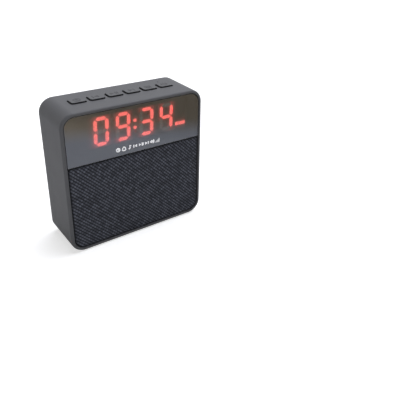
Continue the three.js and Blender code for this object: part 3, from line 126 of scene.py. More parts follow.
class Sign(Enum):
    """Generic signs on the keys, on the lens and on the port plate. Those on the lens are printed; the dark
    colour of those on the keys is painted shade of embossed signs.
    """

    CLOCK = "clock"
    BACK = "back"
    PLAY = "play"
    NEXT = "next"
    MENU = "menu"
    POWER = "power"
    BELL = "bell"
    SOUND = "sound"
    NOTE = "note"
    LEVEL = "level"
    BOLT = "bolt"
    CARD = "card"
    PLUG = "plug"


@dataclass(frozen=True)
class Outline:
    """Closed outline in a plane, with the outward normal at each of its points."""

    points: Array
    normals: Array

    def grown(self, distance: float) -> Outline:
        """Moves each point outwards along its normal."""
        return Outline(self.points + distance * self.normals, self.normals)


@dataclass
class Shell:
    """Closed surface in millimetres, made of four-sided faces and flat many-sided end faces."""

    points: Array
    quads: Array
    ends: list[Array]

    def volume(self) -> float:
        """Sums the signed volumes of the pyramids from the origin to each face.

        Returns:
            The volume, which is negative where the faces look inwards.
        """
        fans = [np.stack([np.full(len(end) - 2, end[0]), end[1:-1], end[2:]], 1) for end in self.ends]
        triangles = np.concatenate([self.quads[:, [0, 1, 2]], self.quads[:, [0, 2, 3]], *fans])
        a, b, c = (self.points[triangles[:, corner]] for corner in range(3))
        return float(np.einsum("ij,ij->", a, np.cross(b, c)) / 6)

    def outward(self) -> Shell:
        """Turns all faces round if the enclosed volume is negative.

        Returns:
            The surface with its faces outwards.
        """
        if self.volume() >= 0:
            return self
        return Shell(self.points, self.quads[:, ::-1], [end[::-1] for end in self.ends])


def together(shells: Sequence[Shell]) -> Shell:
    """Puts several surfaces that don't touch into one list of points and faces."""
    starts = np.cumsum([0] + [len(shell.points) for shell in shells[:-1]])
    return Shell(
        np.concatenate([shell.points for shell in shells]),
        np.concatenate([shell.quads + start for shell, start in zip(shells, starts)]),
        [end + start for shell, start in zip(shells, starts) for end in shell.ends],
    )


def unit(vectors: Array) -> Array:
    """Scales each row to a length of one."""
    return vectors / np.linalg.norm(vectors, axis=-1, keepdims=True)


def quarter(steps: int) -> Array:
    """Even angles from zero to a right angle."""
    return np.linspace(0, np.pi / 2, steps + 1)


def placed(across: Array, up: Array, depth: Array | float, plane: Plane) -> Array:
    """Points in x, y and z from coordinates along a plane's width, height and depth."""
    parts = np.broadcast_arrays(across, up, depth)
    return np.stack([parts[plane.value.index(axis)] for axis in range(3)], -1)


def grid_quads(rows: int, columns: int, wrap_rows: bool = False, wrap_columns: bool = False) -> Array:
    """Faces between neighbouring points of a grid, whose last row or column may be joined to the first."""
    index = np.pad(
        np.arange(rows * columns).reshape(rows, columns), ((0, wrap_rows), (0, wrap_columns)), "wrap")
    return np.stack([index[:-1, :-1], index[:-1, 1:], index[1:, 1:], index[1:, :-1]], -1).reshape(-1, 4)


def grid_edge(rows: int, columns: int) -> Array:
    """Numbers of the points on a grid's edge, up the last column and round by the last row."""
    index = np.arange(rows * columns).reshape(rows, columns)
    return np.concatenate([index[:, -1], index[-1, -2:0:-1], index[::-1, 0], index[0, 1:-1]])


def tube(points: Array, ring: bool = False) -> Shell:
    """Closes a grid of points whose rows are closed sections of a tube.

    Args:
        points: Points by section and place in the section.
        ring: Joins the last section to the first one instead of filling both.

    Returns:
        A closed surface with its faces outwards.
    """
    rows, columns = points.shape[:2]
    first = np.arange(columns)
    ends = [] if ring else [first[::-1], first + (rows - 1) * columns]
    return Shell(points.reshape(-1, 3), grid_quads(rows, columns, ring, True), ends).outward()


def slab(front: Array, rear: float) -> Shell:
    """Closes a grid of points to a slab: the points of the grid's edge are carried on to a flat back.

    Args:
        front: Points of the front by row and column.
        rear: Depth of the back.

    Returns:
        A closed surface with its faces outwards. The points of the grid come first.
    """
    rows, columns = front.shape[:2]
    edge = grid_edge(rows, columns)
    points = front.reshape(-1, 3)
    back = points[edge] * [1, 0, 1] + [0, rear, 0]
    ring = len(points) + np.arange(len(edge))
    rim = np.stack([edge, np.roll(edge, -1), np.roll(ring, -1), ring], 1)
    quads = np.concatenate([grid_quads(rows, columns)[:, ::-1], rim])
    return Shell(np.concatenate([points, back]), quads, [ring]).outward()


def inside_by(x: Array, z: Array, half: float, low: float, high: float, corner: float | Array) -> Array:
    """Distance from the edge of a rounded rectangle, measured inwards.

    Next to a corner it is the corner's radius less the distance from the corner's middle. Elsewhere it is the
    distance from the nearest side.

    Args:
        x: Places across, from the middle.
        z: Heights.
        half: Half the rectangle's width.
        low: Its lower side.
        high: Its upper side.
        corner: Radius of its corners.

    Returns:
        One distance for each place.
    """
    across = np.abs(x) - (half - corner)
    upward = np.maximum(low + corner - z, z - (high - corner))
    outside = np.hypot(np.maximum(across, 0), np.maximum(upward, 0))
    return corner - outside - np.minimum(np.maximum(across, upward), 0)


def half_widths(rows: Array, half: float, low: float, high: float, corners: Span) -> Array:
    """Half width of a rounded rectangle at each height, less what the corners' circles leave open there.

    Args:
        rows: The heights.
        half: Half the rectangle's width.
        low: Its lower side.
        high: Its upper side.
        corners: Radii of its lower and of its upper corners.

    Returns:
        One half width for each height.
    """
    for corner, reach in zip(corners, (low + corners[0] - rows, rows - high + corners[1])):
        half = half - corner + np.sqrt(corner ** 2 - np.clip(reach, 0, corner) ** 2)
    return half


def rounded_polygon(corners: Array, radius: float | Array, steps: int = CORNER_STEPS) -> Outline:
    """Rounds each corner of a convex polygon.

    The arc of a corner touches both sides, so its centre lies back from the corner by the radius times the
    sum of the two side normals, divided by one plus their dot product. Its points turn from the first normal
    to the second.

    Args:
        corners: Corners in counter-clockwise order.
        radius: One radius, or one for each corner.
        steps: Facets in each arc.

    Returns:
        The outline, arc after arc.
    """
    corners = np.asarray(corners, float)
    radii = np.broadcast_to(np.asarray(radius, float), (len(corners),))[:, None]
    inward = unit(corners - np.roll(corners, 1, axis=0))
    onward = np.roll(inward, -1, axis=0)
    first = np.stack([inward[:, 1], -inward[:, 0]], 1)
    second = np.stack([onward[:, 1], -onward[:, 0]], 1)
    dot = np.sum(first * second, axis=1, keepdims=True)
    centres = corners - radii * (first + second) / (1 + dot)
    start = np.arctan2(first[:, 1], first[:, 0])[:, None]
    angles = start + np.arccos(np.clip(dot, -1, 1)) * np.linspace(0, 1, steps + 1)
    normals = np.stack([np.cos(angles), np.sin(angles)], -1)
    points = centres[:, None] + radii[:, None] * normals
    return Outline(points.reshape(-1, 2), normals.reshape(-1, 2))


def rectangle(left: float, right: float, low: float, high: float, radius: float | Sequence[float]) -> Outline:
    """Rectangle with rounded corners; several radii run from low left round by low right and high right."""
    return rounded_polygon([(left, low), (right, low), (right, high), (left, high)], radius)


def centred(x: float, y: float, half: float, rise: float, radius: float) -> Outline:
    """Rectangle with rounded corners round a middle, by half its width and half its height."""
    return rectangle(x - half, x + half, y - rise, y + rise, radius)


def arc(x: float, y: float, radius: float, start: float, stop: float, steps: int = ARC_STEPS) -> Array:
    """Points of an arc between two angles in degrees."""
    angles = np.radians(np.linspace(start, stop, steps + 1))
    return np.stack([x + radius * np.cos(angles), y + radius * np.sin(angles)], 1)


def circle(x: float, y: float, radius: float, sides: int = CIRCLE_SIDES) -> Outline:
    """Circle whose points turn evenly round its middle."""
    normals = arc(0, 0, 1, 0, 360, sides)[:-1]
    return Outline(np.array([x, y]) + radius * normals, normals)


def swept(outline: Outline, profile: Sequence[Span], plane: Plane, ring: bool = False) -> Shell:
    """Carries a profile round a closed outline.

    A row of the profile is an inset and a depth: every point of the outline moves inwards along its normal by
    the inset and lies at the depth.

    Args:
        outline: The outline to go round.
        profile: Insets and depths, in order along the profile.
        plane: Plane of the outline.
        ring: Closes the profile on itself instead of filling its two ends.

    Returns:
        A closed surface with its faces outwards.
    """
    insets, depths = np.asarray(profile, float).T
    ways = outline.points - insets[:, None, None] * outline.normals
    return tube(placed(ways[..., 0], ways[..., 1], depths[:, None], plane), ring)


def block(outline: Outline, low: float, high: float, plane: Plane) -> Shell:
    """Solid with straight walls between two depths."""
    return swept(outline, [(0, low), (0, high)], plane)


def hollow(outline: Outline, sheet: float, low: float, high: float, plane: Plane) -> Shell:
    """Ring of a sheet's thickness with straight walls between two depths."""
    return swept(outline, [(0, low), (0, high), (sheet, high), (sheet, low)], plane, ring=True)


def plate_profile(back: float, face: float, radius: float, steps: int = ROUND_STEPS) -> list[Span]:
    """Insets and depths of a plate: straight up from its back, then a quarter circle on to its face."""
    insets, drops = (radius * (1 - share) for share in (np.cos(quarter(steps)), np.sin(quarter(steps))))
    return [(0.0, back), *zip(insets, face - np.sign(face - back) * drops)]


def hole(outline: Outline, inner: float, face: float, flare: float, plane: Plane) -> Shell:
    """Cutting shape of a hole: straight, then a quarter circle outwards to the face, and on past the face."""
    rounded = [(-inset, depth) for inset, depth in plate_profile(inner, face, flare, FLARE_STEPS)]
    return swept(outline, [*rounded, (-flare, face + np.sign(face - inner) * TOOL_REACH)], plane)


def stroke(path: Array, width: float, low: float, high: float, plane: Plane) -> Shell:
    """Raised line of even width along an open path.

    The two edges of the line lie half a width to each side of the path, along the normals of the path's own
    direction. A section is the four corners that these edges make at the low and the high depth.

    Args:
        path: Points of the path in the plane.
        width: Width of the line.
        low: Depth of its foot.
        high: Depth of its top.
        plane: Plane of the path.

    Returns:
        A closed surface.
    """
    along = unit(np.gradient(path, axis=0))
    side = np.stack([along[:, 1], -along[:, 0]], 1) * width / 2
    edges = np.stack([path + side, path - side, path - side, path + side], 1)
    return tube(placed(edges[..., 0], edges[..., 1], np.array([low, low, high, high]), plane))


# What each sign is made of, in shares of its size. A bar that is 0 wide or high is as thick as the line.
SIGN_MARKS: dict[Sign, list[tuple[object, ...]]] = {
    Sign.CLOCK: [(Mark.HOOP, 0, 0, 0.5), (Mark.LINE, [(0, 0.3), (0, 0), (0.2, -0.1)])],
    Sign.BACK: [(Mark.BAR, -0.4, 0, 0, 0.7), (Mark.POINTER, 0.08, 0, -0.6)],
    Sign.PLAY: [(Mark.POINTER, -0.25, 0, 0.55), (Mark.BAR, 0.25, 0, 0, 0.7), (Mark.BAR, 0.5, 0, 0, 0.7)],
    Sign.NEXT: [(Mark.BAR, 0.4, 0, 0, 0.7), (Mark.POINTER, -0.08, 0, 0.6)],
    Sign.MENU: [(Mark.BAR, 0, rise, 0.9, 0) for rise in (-0.33, 0, 0.33)],
    Sign.POWER: [(Mark.LINE, arc(0, 0, 0.42, 125, 415)), (Mark.BAR, 0, 0.32, 0, 0.42)],
    Sign.BELL: [
        (Mark.LINE, [(-0.5, -0.34), (-0.36, -0.2), *arc(0, -0.02, 0.34, 180, 0), (0.36, -0.2), (0.5, -0.34)]),
        (Mark.BAR, 0, -0.42, 0.7, 0), (Mark.DOT, 0, 0.48, 0.1)],
    Sign.SOUND: [
        (Mark.PATCH, [(-0.5, -0.16), (-0.28, -0.2), (0, -0.45), (0, 0.45), (-0.28, 0.2), (-0.5, 0.16)]),
        *((Mark.LINE, arc(-0.1, 0, reach, -48, 48)) for reach in (0.32, 0.58))],
    Sign.NOTE: [(Mark.DOT, -0.16, -0.32, 0.16), (Mark.LINE, [(0.04, -0.3), (0.04, 0.48), (0.32, 0.28)])],
    Sign.LEVEL: [
        (Mark.BAR, shift, tall / 2 - 0.45, 0.17, tall)
        for shift, tall in ((-0.4, 0.25), (-0.13, 0.45), (0.13, 0.65), (0.4, 0.9))],
    Sign.BOLT: [(Mark.LINE, [(0.18, 0.5), (-0.2, 0.04), (0.2, -0.04), (-0.18, -0.5)])],
    Sign.CARD: [(Mark.BORDER, 0, 0, 0.34, 0.45, 0.1)],
    Sign.PLUG: [
        (Mark.BAR, 0, -0.05, 0.7, 0.4), *((Mark.BAR, shift, 0.3, 0, 0.4) for shift in (-0.2, 0.2)),
        (Mark.BAR, 0, -0.35, 0, 0.3)],
}


@dataclass(frozen=True)
class SignMaker:
    """Makes raised signs of one size on one plane."""

    size: float
    line: float
    low: float
    high: float
    plane: Plane
    bar_round: float = 0.3
    pointer_half: float = 0.6
    pointer_round: float = 0.08
    pointer_steps: int = 4
    patch_round: float = 0.02
    patch_steps: int = 2
    dot_sides: int = 24

    def raised(self, outline: Outline) -> Shell:
        """Solid as high as the sign."""
        return block(outline, self.low, self.high, self.plane)

    def border(self, outline: Outline) -> Shell:
        """Ring as wide as the line."""
        return hollow(outline, self.line, self.low, self.high, self.plane)

    def pointer(self, x: float, y: float, reach: float) -> Shell:
        """Triangle that points to the right, or to the left where its reach is negative.

        Args:
            x: Middle along the plane's width.
            y: Middle along the plane's height.
            reach: Length from its foot to its point.

        Returns:
            A closed surface.
        """
        half = self.pointer_half * abs(reach)
        corners = [(x - reach / 2, y - half), (x + reach / 2, y), (x - reach / 2, y + half)]
        ordered = corners if reach > 0 else corners[::-1]
        return self.raised(rounded_polygon(ordered, self.pointer_round * abs(reach), self.pointer_steps))

    def part(self, x: float, y: float, mark: Mark, shares: Sequence[object]) -> Shell:
        """Makes one simple shape of a sign.

        Args:
            x: Middle of the sign along the plane's width.
            y: Middle of the sign along the plane's height.
            mark: Kind of shape.
            shares: Its points, or its place and its measures, in shares of the sign's size.

        Returns:
            A closed surface.
        """
        if mark in (Mark.LINE, Mark.PATCH):
            points = np.array([x, y]) + self.size * np.array(shares[0], float)
            if mark is Mark.LINE:
                return stroke(points, self.line, self.low, self.high, self.plane)
            return self.raised(rounded_polygon(points, self.patch_round * self.size, self.patch_steps))
        shift, rise, *measures = (self.size * share for share in shares)
        x, y = x + shift, y + rise
        if mark is Mark.BAR:
            wide, tall = (measure or self.line for measure in measures)
            return self.raised(centred(x, y, wide / 2, tall / 2, self.bar_round * min(wide, tall)))
        if mark is Mark.POINTER:
            return self.pointer(x, y, *measures)
        if mark is Mark.HOOP:
            return self.border(circle(x, y, *measures))
        if mark is Mark.BORDER:
            return self.border(centred(x, y, *measures))
        return self.raised(circle(x, y, *measures, self.dot_sides))

    def sign(self, kind: Sign, x: float, y: float) -> list[Shell]:
        """Separate solids of one sign round a middle."""
        return [self.part(x, y, mark, shares) for mark, *shares in SIGN_MARKS[kind]]


def shade(mesh: bpy.types.Mesh) -> None:
    """Smooths all faces and keeps the edges sharp that turn more than the set angle.

    Args:
        mesh: The mesh to change.
    """
    mesh.polygons.foreach_set("use_smooth", np.ones(len(mesh.polygons), bool))
    mesh.set_sharp_from_angle(angle=SMOOTH_ANGLE)
    mesh.update()


def add_object(name: str, shell: Shell) -> Object:
    """Makes an object at the origin from a surface, with its place in its mesh.

    Args:
        name: Name of the object and of its mesh.
        shell: Surface in millimetres.

    Returns:
        The object, with its mesh in metres.
    """
    mesh = bpy.data.meshes.new(name)
    corners = np.concatenate([shell.quads.ravel(), *shell.ends]).astype(np.int32)
    counts = np.concatenate([np.full(len(shell.quads), 4), [len(end) for end in shell.ends]]).astype(np.int32)
    mesh.vertices.add(len(shell.points))
    mesh.vertices.foreach_set("co", (shell.points * METRES).astype(np.float32).ravel())
    mesh.loops.add(len(corners))
    mesh.loops.foreach_set("vertex_index", corners)
    mesh.polygons.add(len(counts))
    mesh.polygons.foreach_set("loop_start", (np.cumsum(counts) - counts).astype(np.int32))
    mesh.update(calc_edges=True)
    piece = bpy.data.objects.new(name, mesh)
    bpy.context.scene.collection.objects.link(piece)
    shade(mesh)
    return piece


def keep_values(piece: Object, name: str, values: Array) -> None:
    """Keeps a value at each point of a piece, and zero at points past the end of the list.

    Args:
        piece: The piece.
        name: Name that materials read the values by.
        values: One value for each of the first points.
    """
    kept = np.zeros(len(piece.data.vertices), np.float32)
    kept[:values.size] = values.ravel()
    piece.data.attributes.new(name, "FLOAT", "POINT").data.foreach_set("value", kept)


def combine(piece: Object, shells: Sequence[Shell], operation: Operation) -> None:
    """Joins solids to a piece or cuts them out of it, and keeps the result as the piece's mesh.

    Args:
        piece: The piece to change.
        shells: Solids that don't touch each other.
        operation: Join or cut.
    """
    tool = add_object("tool", together(shells))
    step = piece.modifiers.new("combine", "BOOLEAN")
    step.operation, step.solver, step.object = operation.value, "MANIFOLD", tool
    evaluated = piece.evaluated_get(bpy.context.evaluated_depsgraph_get())
    mesh = bpy.data.meshes.new_from_object(evaluated)
    piece.modifiers.remove(step)
    spares = (piece.data, tool.data)
    piece.data = mesh
    mesh.name = piece.name
    bpy.data.objects.remove(tool)
    for spare in spares:
        bpy.data.meshes.remove(spare)
    shade(mesh)


def fused(name: str, solids: Sequence[Shell]) -> Object:
    """Makes one object of solids that may overlap.

    Args:
        name: Name of the object.
        solids: The solids, which are joined one after the other.

    Returns:
        The object.
    """
    piece = add_object(name, solids[0])
    for solid in solids[1:]:
        combine(piece, [solid], Operation.JOIN)
    return piece


class Tree:
    """Small helper round a node tree: adds nodes, sets their values and links them."""

    def __init__(self, tree: NodeTree) -> None:
        """Keeps the node tree of a material, a world or a group."""
        self.tree = tree

    def add(self, kind: str, **settings: object) -> Node:
        """Adds a node.

        Args:
            kind: Blender's name for the kind of node, without its prefix.
            settings: Values for the node's own options.

        Returns:
            The new node.
        """
        node = self.tree.nodes.new("ShaderNode" + kind)
        for option, value in settings.items():
            setattr(node, option, value)
        return node

    def put(self, node: Node, values: dict[str | int, object]) -> Node:
        """Sets inputs of a node to constants, or links them where the value is another node's output.

        Args:
            node: The node.
            values: Constants or outputs by the input's name or number.

        Returns:
            The same node.
        """
        for name, value in values.items():
            if isinstance(value, Socket):
                self.tree.links.new(value, node.inputs[name])
            else:
                node.inputs[name].default_value = value
        return node

    def math(self, operation: str, first: object, second: object = 0.0, clamp: bool = False) -> Socket:
        """Result of a calculation with one or two values or sockets."""
        node = self.add("Math", operation=operation, use_clamp=clamp)
        return self.put(node, {0: first, 1: second}).outputs[0]

    def times(self, first: object, second: object) -> Socket:
        """Product of two values or sockets."""
        return self.math("MULTIPLY", first, second)

    def plus(self, base: object, value: object, share: float) -> Socket:
        """A value, and a share of another one added to it."""
        return self.math("ADD", base, self.times(value, share))

    def over(self, first: float, second: Socket) -> Socket:
        """Quotient of a number and a socket."""
        return self.math("DIVIDE", first, second)

    def blend(self, share: object, first: object, second: object) -> Socket:
        """Colour between two colours."""
        node = self.add("Mix", data_type="RGBA")
        return self.put(node, {0: share, 6: first, 7: second}).outputs[2]

    def spread(self, value: object, low: float, high: float, start: float = 0.0, stop: float = 1.0) -> Socket:
        """Value carried from one range to another."""
        return self.put(self.add("MapRange"), {0: value, 1: start, 2: stop, 3: low, 4: high}).outputs[0]

    def noise(self, where: Socket, scale: object, detail: float) -> Socket:
        """Soft random value at each place."""
        values = {"Vector": where, "Scale": scale, "Detail": detail, "Roughness": NOISE_ROUGHNESS}
        return self.put(self.add("TexNoise"), values).outputs[0]

    def stretched(self, where: Socket, scale: Triple) -> Socket:
        """Place with one factor for each axis."""
        return self.put(self.add("Mapping"), {"Vector": where, "Scale": scale}).outputs[0]

    def place(self) -> Socket:
        """Place in the object's own coordinates."""
        return self.add("TexCoord").outputs["Object"]

    def axes(self, where: Socket) -> bpy.types.NodeOutputs:
        """Coordinates of a place along X, Y and Z."""
        return self.put(self.add("SeparateXYZ"), {0: where}).outputs

    def kept(self, name: str) -> Socket:
        """Value that the mesh keeps at its points."""
        return self.add("Attribute", attribute_name=name).outputs["Fac"]


def opaque(colour: Colour) -> tuple[float, float, float, float]:
    """Colour with full cover."""
    return (*colour, 1.0)


def shared_group(name: str, inputs: dict[str, object], outputs: dict[str, str]) -> NodeTree:
    """Starts a node group with named sockets.

    Args:
        name: Name of the group.
        inputs: First value of each input, which is a number or a colour.
        outputs: Kind of each output.

    Returns:
        The group, with its input and output nodes in it.
    """
    group = bpy.data.node_groups.new(name, "ShaderNodeTree")
    for label, value in inputs.items():
        kind = "NodeSocketFloat" if isinstance(value, float) else "NodeSocketColor"
        group.interface.new_socket(label, in_out="INPUT", socket_type=kind).default_value = value
    for label, kind in outputs.items():
        group.interface.new_socket(label, in_out="OUTPUT", socket_type=kind)
    group.nodes.new("NodeGroupInput")
    group.nodes.new("NodeGroupOutput")
    return group


def grain_group() -> NodeTree:
    """Grain of a moulded surface, shared by all plastics.

    Fine noise of the given size makes the height. Broad noise and some of the fine one blend the two colours,
    and both in equal shares make the gloss mask.

    Returns:
        The group, which is made on the first call.
    """
    found = bpy.data.node_groups.get("moulded_grain")
    if found:
        return found
    group = shared_group(
        "moulded_grain", {"Size": 0.0003, "Dark": BLACK, "Light": WHITE, "Patch": 0.012},
        {"Colour": "NodeSocketColor", "Gloss": "NodeSocketFloat", "Height": "NodeSocketFloat"})
    tree = Tree(group)
    start, end = group.nodes["Group Input"].outputs, group.nodes["Group Output"]
    where = tree.place()
    fine = tree.noise(where, tree.over(1.0, start["Size"]), FINE_DETAIL)
    broad = tree.noise(where, tree.over(1.0, start["Patch"]), BROAD_DETAIL)
    tint = tree.plus(tree.times(broad, BROAD_SHARE), fine, 1 - BROAD_SHARE)
    tree.put(end, {
        "Colour": tree.blend(tree.spread(tint, 0.0, 1.0, *MASK_RANGE), start["Dark"], start["Light"]),
        "Gloss": tree.plus(tree.times(broad, 0.5), fine, 0.5),
        "Height": fine,
    })
    return group


def yarn_group() -> NodeTree:
    """Plain weave of fine threads, shared by the cloths.

    Two crossing waves of the given pitch make the height, with some fuzz added.

    Returns:
        The group, which is made on the first call.
    """
    found = bpy.data.node_groups.get("fine_yarn")
    if found:
        return found
    group = shared_group(
        "fine_yarn", {"Pitch": 0.0003, "Turn": 0.785},
        {"Height": "NodeSocketFloat", "Fuzz": "NodeSocketFloat"})
    tree = Tree(group)
    start, end = group.nodes["Group Input"].outputs, group.nodes["Group Output"]
    where = tree.place()
    turned = tree.add("VectorRotate", rotation_type="Y_AXIS")
    tree.put(turned, {"Vector": where, "Angle": start["Turn"]})
    parts = tree.axes(turned.outputs[0])
    rate = tree.over(2 * np.pi, start["Pitch"])
    waves = [tree.math("SINE", tree.times(parts[axis], rate)) for axis in ("X", "Z")]
    fuzz = tree.noise(where, tree.over(FUZZ_RATE, start["Pitch"]), BROAD_DETAIL)
    height = tree.spread(tree.times(*waves), 0.0, 1 - FUZZ_SHARE, -1.0, 1.0)
    tree.put(end, {"Height": tree.plus(height, fuzz, FUZZ_SHARE), "Fuzz": fuzz})
    return group


@dataclass(frozen=True)
class Finish:
    """Moulded finish: two close colours, a range of roughness and a grain."""

    name: str
    colour: Colour
    variation: float = 0.08
    roughness: Span = (0.45, 0.62)
    grain: float = 0.0003
    relief: float = 0.00003
    patch: float = 0.012
    metallic: float = 0.0
    specular: float = 0.5
    sheen: float = 0.0

    def tones(self) -> list[tuple[float, ...]]:
        """Darker and lighter colour of the surface."""
        shares = (1 - self.variation, 1 + self.variation)
        return [opaque(tuple(min(1.0, part * share) for part in self.colour)) for share in shares]

    def grained(self, tree: Tree) -> bpy.types.NodeOutputs:
        """Outputs of the shared grain, with this finish's sizes and colours."""
        values = zip(("Size", "Patch", "Dark", "Light"), (self.grain, self.patch, *self.tones()))
        return tree.put(tree.add("Group", node_tree=grain_group()), dict(values)).outputs

    def rough(self, tree: Tree, mask: Socket) -> Socket:
        """Roughness that follows a mask."""
        return tree.spread(mask, *self.roughness, *MASK_RANGE)

    def bumped(self, tree: Tree, height: Socket) -> Socket:
        """Normal that follows a height map."""
        values = {"Height": height, "Distance": self.relief, "Strength": 1.0}
        return tree.put(tree.add("Bump"), values).outputs[0]

    def values(self, tree: Tree) -> dict[str, object]:
        """Values for the main shader: grain for the colour and relief, and a gloss mask for the roughness."""
        grain = self.grained(tree)
        return {
            "Base Color": grain["Colour"],
            "Metallic": self.metallic,
            "Specular IOR Level": self.specular,
            "Sheen Weight": self.sheen,
            "Roughness": self.rough(tree, grain["Gloss"]),
            "Normal": self.bumped(tree, grain["Height"]),
        }

    def build(self) -> Material:
        """Makes the material, whose main shader takes the values that the finish gives it.

        Returns:
            The material.
        """
        material = bpy.data.materials.new(self.name)
        material.use_nodes = True
        tree = Tree(material.node_tree)
        tree.put(material.node_tree.nodes["Principled BSDF"], self.values(tree))
        return material


@dataclass(frozen=True)
class BrushedFinish(Finish):
    """Plated sheet metal with fine drawn lines."""

    lines: Triple = (40.0, 6000.0, 6000.0)

    def values(self, tree: Tree) -> dict[str, object]:
        """Values for the main shader: noise stretched along the drawn lines gives relief and roughness."""
        drawn = tree.noise(tree.stretched(tree.place(), self.lines), 1.0, FINE_DETAIL)
        return {
            "Base Color": tree.blend(drawn, *self.tones()),
            "Metallic": self.metallic,
            "Roughness": self.rough(tree, drawn),
            "Normal": self.bumped(tree, drawn),
        }


@dataclass(frozen=True)
class ClothFinish(Finish):
    """Woven cloth: crests lighter than valleys, with fine yarn in the relief. Where the mesh keeps the weave's
    height, the dark valleys are painted shade.
    """

    crest: Colour = (0.09, 0.092, 0.105)
    pitch: float = 0.00034
    attribute: str = ""
    level: float = 0.6
    fuzz: Span = (0.55, 1.35)
    sheen_roughness: float = 0.5

    def values(self, tree: Tree) -> dict[str, object]:
        """Blends valley and crest colours by the weave's own height, which the mesh keeps, and by fuzz; the
        dark valley colour is painted shade.

        Args:
            tree: Tree of the material.

        Returns:
            Values for the main shader.
        """
        yarn = tree.put(tree.add("Group", node_tree=yarn_group()), {"Pitch": self.pitch}).outputs
        height = tree.kept(self.attribute) if self.attribute else self.level
        fuzz = tree.spread(yarn["Fuzz"], *self.fuzz, *MASK_RANGE)
        share = tree.math("MULTIPLY", fuzz, height, clamp=True)
        return {
            "Base Color": tree.blend(share, opaque(self.colour), opaque(self.crest)),
            "Roughness": self.rough(tree, yarn["Fuzz"]),
            "Sheen Weight": self.sheen,
            "Sheen Roughness": self.sheen_roughness,
            "Specular IOR Level": self.specular,
            "Normal": self.bumped(tree, yarn["Height"]),
        }


@dataclass(frozen=True)
class ClearFinish(Finish):
    """Clear or smoked plastic that light goes through."""

    index: float = 1.49
    through: float = 1.0

    def values(self, tree: Tree) -> dict[str, object]:
        """Values for the main shader: tinted glass whose polish varies a little over broad patches."""
        grain = self.grained(tree)
        return {
            "Base Color": grain["Colour"],
            "Metallic": 0.0,
            "IOR": self.index,
            "Transmission Weight": self.through,
            "Roughness": self.rough(tree, grain["Gloss"]),
        }


@dataclass(frozen=True)
class LensFinish(ClearFinish):
    """Smoked lens with a hard coat that is stronger towards its lower left, as a painted reflection that is
    brighter there.
    """

    coat: Span = (1.0, 0.2)
    reflection_ramp_heights: Span = (0.08, 0.1)
    reflection_ramp_slant: float = 0.28
    ragged: float = 0.012
    ragged_scale: float = 25.0
    coat_index: float = 1.75
    coat_roughness: float = 0.03

    def values(self, tree: Tree) -> dict[str, object]:
        """Adds a coat, which a slanting ramp over the lens sets, softened by broad noise: a painted reflection,
        stronger to the lower left.

        Args:
            tree: Tree of the material.

        Returns:
            Values for the main shader.
        """
        where = tree.place()
        parts = tree.axes(where)
        # The slanting coat ramp paints a reflection that is stronger towards the lower left.
        reflection_ramp = tree.plus(parts["Z"], parts["X"], self.reflection_ramp_slant)
        ragged = tree.plus(reflection_ramp, tree.noise(where, self.ragged_scale, 1.0), self.ragged)
        return {
            **super().values(tree),
            "Coat Weight": tree.spread(ragged, *self.coat, *self.reflection_ramp_heights),
            "Coat IOR": self.coat_index,
            "Coat Roughness": self.coat_roughness,
        }


@dataclass(frozen=True)
class LitFinish(Finish):
    """Plastic that glows: the lit bars shine, and the glow of the unlit bars and of the print is painted light.
    """

    strength: float = 1.0

    def values(self, tree: Tree) -> dict[str, object]:
        """Values for the main shader: the glow's colour varies a little over the surface."""
        grain = self.grained(tree)
        return {
            "Base Color": opaque(self.colour),
            "Roughness": self.rough(tree, grain["Gloss"]),
            "Emission Color": grain["Colour"],
            "Emission Strength": self.strength,
        }


@dataclass(frozen=True)
class GlowFinish(Finish):
    """Dark face that carries some light sideways from the lit bars beside it."""

    glow: Colour = (1.0, 0.1, 0.08)
    strength: float = 1.0
    attribute: str = "glow"

    def values(self, tree: Tree) -> dict[str, object]:
        """Adds a glow between black and its colour, by the share of light that the mesh keeps."""
        glow = tree.blend(tree.kept(self.attribute), BLACK, opaque(self.glow))
        return {**super().values(tree), "Emission Color": glow, "Emission Strength": self.strength}


@dataclass(frozen=True)
class BoardFinish(Finish):
    """Circuit board: solder mask over tracks that show as paler lines."""

    track: Colour = (0.05, 0.2, 0.08)
    track_edges: Span = (0.05, 0.09)
    cells: float = 260.0
    disorder: float = 0.85

    def values(self, tree: Tree) -> dict[str, object]:
        """Draws tracks along the narrow edges between the cells of a random pattern.

        Args:
            tree: Tree of the material.

        Returns:
            Values for the main shader.
        """
        cells = tree.add("TexVoronoi", feature="DISTANCE_TO_EDGE", distance="CHEBYCHEV")
        tree.put(cells, {"Vector": tree.place(), "Scale": self.cells, "Randomness": self.disorder})
        track = tree.spread(cells.outputs["Distance"], 1.0, 0.0, *self.track_edges)
        return {
            "Base Color": tree.blend(track, opaque(self.colour), opaque(self.track)),
            "Roughness": tree.spread(track, *self.roughness),
            "Normal": self.bumped(tree, track),
        }


@dataclass(frozen=True)
class WoundFinish(Finish):
    """Enamelled wire, wound in close turns along the depth of the clock."""

    pitch: float = 0.00022

    def values(self, tree: Tree) -> dict[str, object]:
        """Values for the main shader: one wave for each turn of wire gives the relief and darker gaps, which
        are painted shade between the turns.
        """
        turns = tree.math("SINE", tree.times(tree.axes(tree.place())["Y"], 2 * np.pi / self.pitch))
        return {
            "Base Color": tree.blend(tree.spread(turns, 0.0, 1.0, -1.0, 1.0), *self.tones()),
            "Metallic": self.metallic,
            "Roughness": tree.spread(turns, *self.roughness, -1.0, 1.0),
            "Normal": self.bumped(tree, turns),
        }


